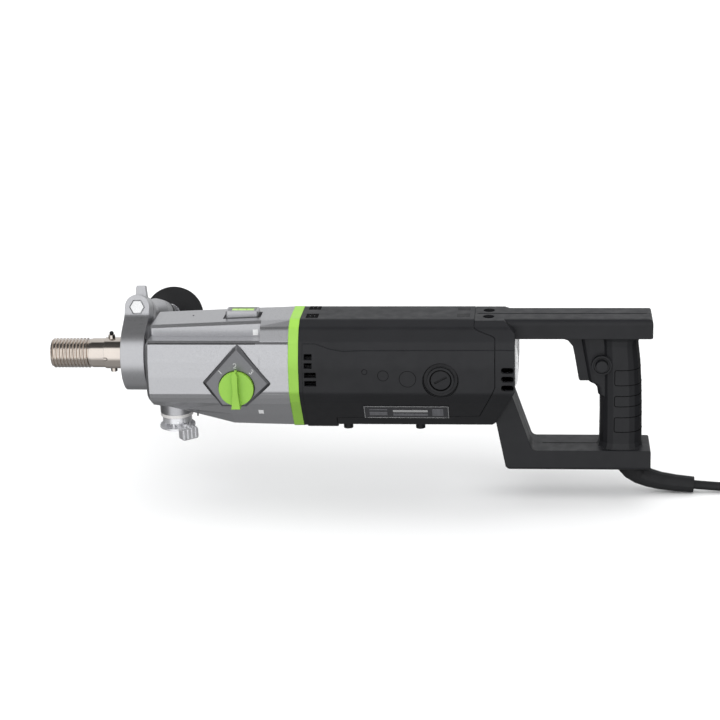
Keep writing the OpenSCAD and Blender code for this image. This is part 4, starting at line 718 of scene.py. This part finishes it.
def add_grip_lines():
    grip = surface("near_shell", "far_shell")
    start = math.degrees(math.atan2(INLAY_FRONT_Y, INLAY_FRONT_X - GRIP_X))
    span = -2 * start
    arc = math.radians(span) * GRIP_R
    for k, (low, high) in enumerate(INLAY_HEIGHTS):
        outline = rounded_box(0, low, arc, high, INLAY_CORNER)
        path = []
        for p in dense([(u, 0, z) for u, z in outline], INLAY_STEP, True):
            a = math.radians(start + p.x / arc * span)
            way = Vector((math.cos(a), math.sin(a), 0))
            place = Vector((GRIP_X, SHELL_GAP if a > 0 else -SHELL_GAP, p.z)) * MM
            path.append(land(grip, place + way * GRIP_RAY, -way)[0])
        wire("grip_inlay_%d" % k, path, radius=0.38 * MM, slot="deep_black", closed=True)


# Rating plate: y and z of the slanted side's upper and lower edge, then plain fields on the plate,
# each with x and height of opposite corners, the height from the upper edge
CREASE_Y, CREASE_Z = -46.5, -37.5
FOOT_Y, FOOT_Z = -21, -73.3
PLATE_RISE = 1.2
PLATE_RAY = 0.01
PLATE_FIELDS = (
    ("plate_edge_0", 292.2, -26.1, 379.5, -25.6, "bright_steel"),
    ("plate_edge_1", 292.2, -6.3, 379.5, -5.8, "bright_steel"),
    ("plate_edge_2", 292.2, -25.5, 292.7, -6.4, "bright_steel"),
    ("plate_edge_3", 379.0, -25.5, 379.5, -6.4, "bright_steel"),
    ("plate_field_0", 322.0, -15.8, 358.0, -12.2, "bright_steel"),
    ("plate_field_1", 297.5, -12.4, 316.0, -10.8, "core_steel"),
    ("plate_field_2", 297.5, -21.5, 316.0, -15.5, "core_steel"),
    ("plate_field_3", 322.0, -22.5, 358.0, -18.5, "core_steel"),
    ("plate_field_4", 362.5, -22.5, 374.0, -10.5, "core_steel"),
)


def add_plate_marks():
    target = surface("rating_plate")
    slope = math.atan2(FOOT_Y - CREASE_Y, CREASE_Z - FOOT_Z)
    out = Vector((0, -math.cos(slope), -math.sin(slope)))
    up = Vector((0, -math.sin(slope), math.cos(slope)))
    crease = Vector((0, CREASE_Y, CREASE_Z)) * MM + out * PLATE_RISE * MM

    def spot(x, h):
        place = Vector((x * MM, 0, 0)) + crease + up * h * MM
        return land(target, place + out * PLATE_RAY, -out)

    for name, x0, h0, x1, h1, slot in PLATE_FIELDS:
        grid = [[spot(x, h) for x in three(x0, x1)] for h in three(h0, h1)]
        patch(name, grid, thick=0.06, slot=slot)


# Spirit level's vial: two lines, and a cap at each end
VIAL_X, VIAL_Y = 164.4 * MM, -3 * MM
VIAL_LINES = (-4.6, 4.6)
VIAL_POINTS = 28
CAP_FRONT, CAP_REAR = 3.4 * MM, 2.0 * MM
CAP_LIP, CAP_WALL, CAP_STEP = 0.3 * MM, 0.15 * MM, 0.3 * MM
CAP_SIDES = 32


def add_level_marks():
    low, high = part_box("level_vial")
    middle_z = (low[2] + high[2]) / 2
    radius = (high[2] - low[2]) / 2
    for k, dx in enumerate(VIAL_LINES):
        ring = x_ring(VIAL_X + dx * MM, VIAL_Y, middle_z, radius, VIAL_POINTS)
        wire("vial_ring_%d" % k, ring, radius=0.15 * MM, slot="black_rubber", closed=True)
    for k, (x0, x1) in enumerate(((low[0], low[0] + CAP_FRONT), (high[0] - CAP_REAR, high[0]))):
        profile = [(x0, radius - CAP_LIP), (x0, radius + CAP_WALL), (x0 + CAP_STEP, radius + CAP_LIP),
                   (x1 - CAP_STEP, radius + CAP_LIP), (x1, radius + CAP_WALL), (x1, radius - CAP_LIP)]
        verts = [p for x, r in profile for p in x_ring(x, VIAL_Y, middle_z, r, CAP_SIDES)]
        add_mesh("vial_cap_%d" % k, verts, skin(len(profile), CAP_SIDES, True), "silver_paint")


# Floor and light
FLOOR_HALF = 14
FLOOR_DROP = 0.0002
# Wide soft suns for the dull surfaces only: one from above, the same over the whole floor, and a
# weak one from the camera's side; energy, spread and turns in degrees
SUNS = (("overhead", 2.5, 100, (4, -6, 0)), ("fill", 0.5, 90, (72, 0, -10)))
# Brightness of the studio by the sine of the elevation over a floor tipped by SKY_TILT, from nadir
# to zenith
SKY = ((-1.0, 0.36), (-0.55, 0.38), (-0.32, 0.95), (-0.2, 1.2), (0.82, 1.2), (0.90, 0.09), (1.0, 0.08))
SKY_TINT = (0.98, 0.99, 1.0)
SKY_TILT = math.radians(9.5)
# Level beside and behind the drill, and where each sets in
SIDE_LEVEL, SIDE_FROM, SIDE_TO = 0.18, 0.5, 0.8
BACK_LEVEL, BACK_FROM, BACK_TO = 0.62, -0.1, 0.3


def add_stage():
    mesh = bpy.data.meshes.new("floor")
    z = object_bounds()[0][2] - FLOOR_DROP
    corners = ((-1, -1), (1, -1), (1, 1), (-1, 1))
    mesh.from_pydata([(x * FLOOR_HALF, y * FLOOR_HALF, z) for x, y in corners], [], [(0, 1, 2, 3)])
    floor = bpy.data.objects.new("floor", mesh)
    scene.collection.objects.link(floor)
    mesh.materials.append(finish("floor", *FLOOR_LOOK))
    floor.visible_glossy = False
    floor.visible_diffuse = False


def add_suns():
    for name, energy, spread, turns in SUNS:
        data = bpy.data.lights.new(name, "SUN")
        data.energy = energy
        data.angle = math.radians(spread)
        lamp = bpy.data.objects.new(name, data)
        lamp.visible_glossy = False
        lamp.rotation_euler = [math.radians(turn) for turn in turns]
        scene.collection.objects.link(lamp)


def add_world():
    """White to the camera; lit from the front wall and the ceiling, darker below, beside and behind."""
    world = bpy.data.worlds.new("studio")
    world.use_nodes = True
    scene.world = world
    tree = world.node_tree
    tree.nodes.clear()
    out = tree.nodes.new("ShaderNodeOutputWorld")
    seen = tree.nodes.new("ShaderNodeBackground")
    seen.inputs[0].default_value = (1, 1, 1, 1)
    place = tree.nodes.new("ShaderNodeTexCoord")
    split = tree.nodes.new("ShaderNodeSeparateXYZ")
    tip = tree.nodes.new("ShaderNodeMapping")
    tip.inputs["Rotation"].default_value = (-SKY_TILT, 0, 0)
    tree.links.new(place.outputs["Generated"], tip.inputs[0])
    tree.links.new(tip.outputs[0], split.inputs[0])
    ramp = tree.nodes.new("ShaderNodeValToRGB")
    steps = ramp.color_ramp.elements
    while len(steps) < len(SKY):
        steps.new(0.5)
    for step, (at, level) in zip(steps, SKY):
        step.position = (at + 1) / 2
        step.color = (*(level * tint for tint in SKY_TINT), 1)
    tree.links.new(remap(tree, split.outputs[2], 0, 1, -1, 1), ramp.inputs[0])
    aside = tree.nodes.new("ShaderNodeMath")
    aside.operation = "ABSOLUTE"
    tree.links.new(split.outputs[0], aside.inputs[0])
    side = remap(tree, aside.outputs[0], 1, SIDE_LEVEL, SIDE_FROM, SIDE_TO)
    back = remap(tree, split.outputs[1], 1, BACK_LEVEL, BACK_FROM, BACK_TO)
    both = tree.nodes.new("ShaderNodeMath")
    both.operation = "MULTIPLY"
    tree.links.new(side, both.inputs[0])
    tree.links.new(back, both.inputs[1])
    lit = tree.nodes.new("ShaderNodeBackground")
    tree.links.new(ramp.outputs[0], lit.inputs[0])
    tree.links.new(both.outputs[0], lit.inputs[1])
    rays = tree.nodes.new("ShaderNodeLightPath")
    mix = tree.nodes.new("ShaderNodeMixShader")
    tree.links.new(rays.outputs["Is Camera Ray"], mix.inputs[0])
    tree.links.new(lit.outputs[0], mix.inputs[1])
    tree.links.new(seen.outputs[0], mix.inputs[2])
    tree.links.new(mix.outputs[0], out.inputs[0])
    scene.view_settings.view_transform = "Standard"


add_camera()
dress_cad()
add_cord()
add_thread()
add_housing_marks()
add_small_pins()
add_spindle_lines()
add_motor_marks()
add_motor_vents()
add_seams()
add_grip_lines()
add_plate_marks()
add_level_marks()
add_stage()
add_suns()
add_world()
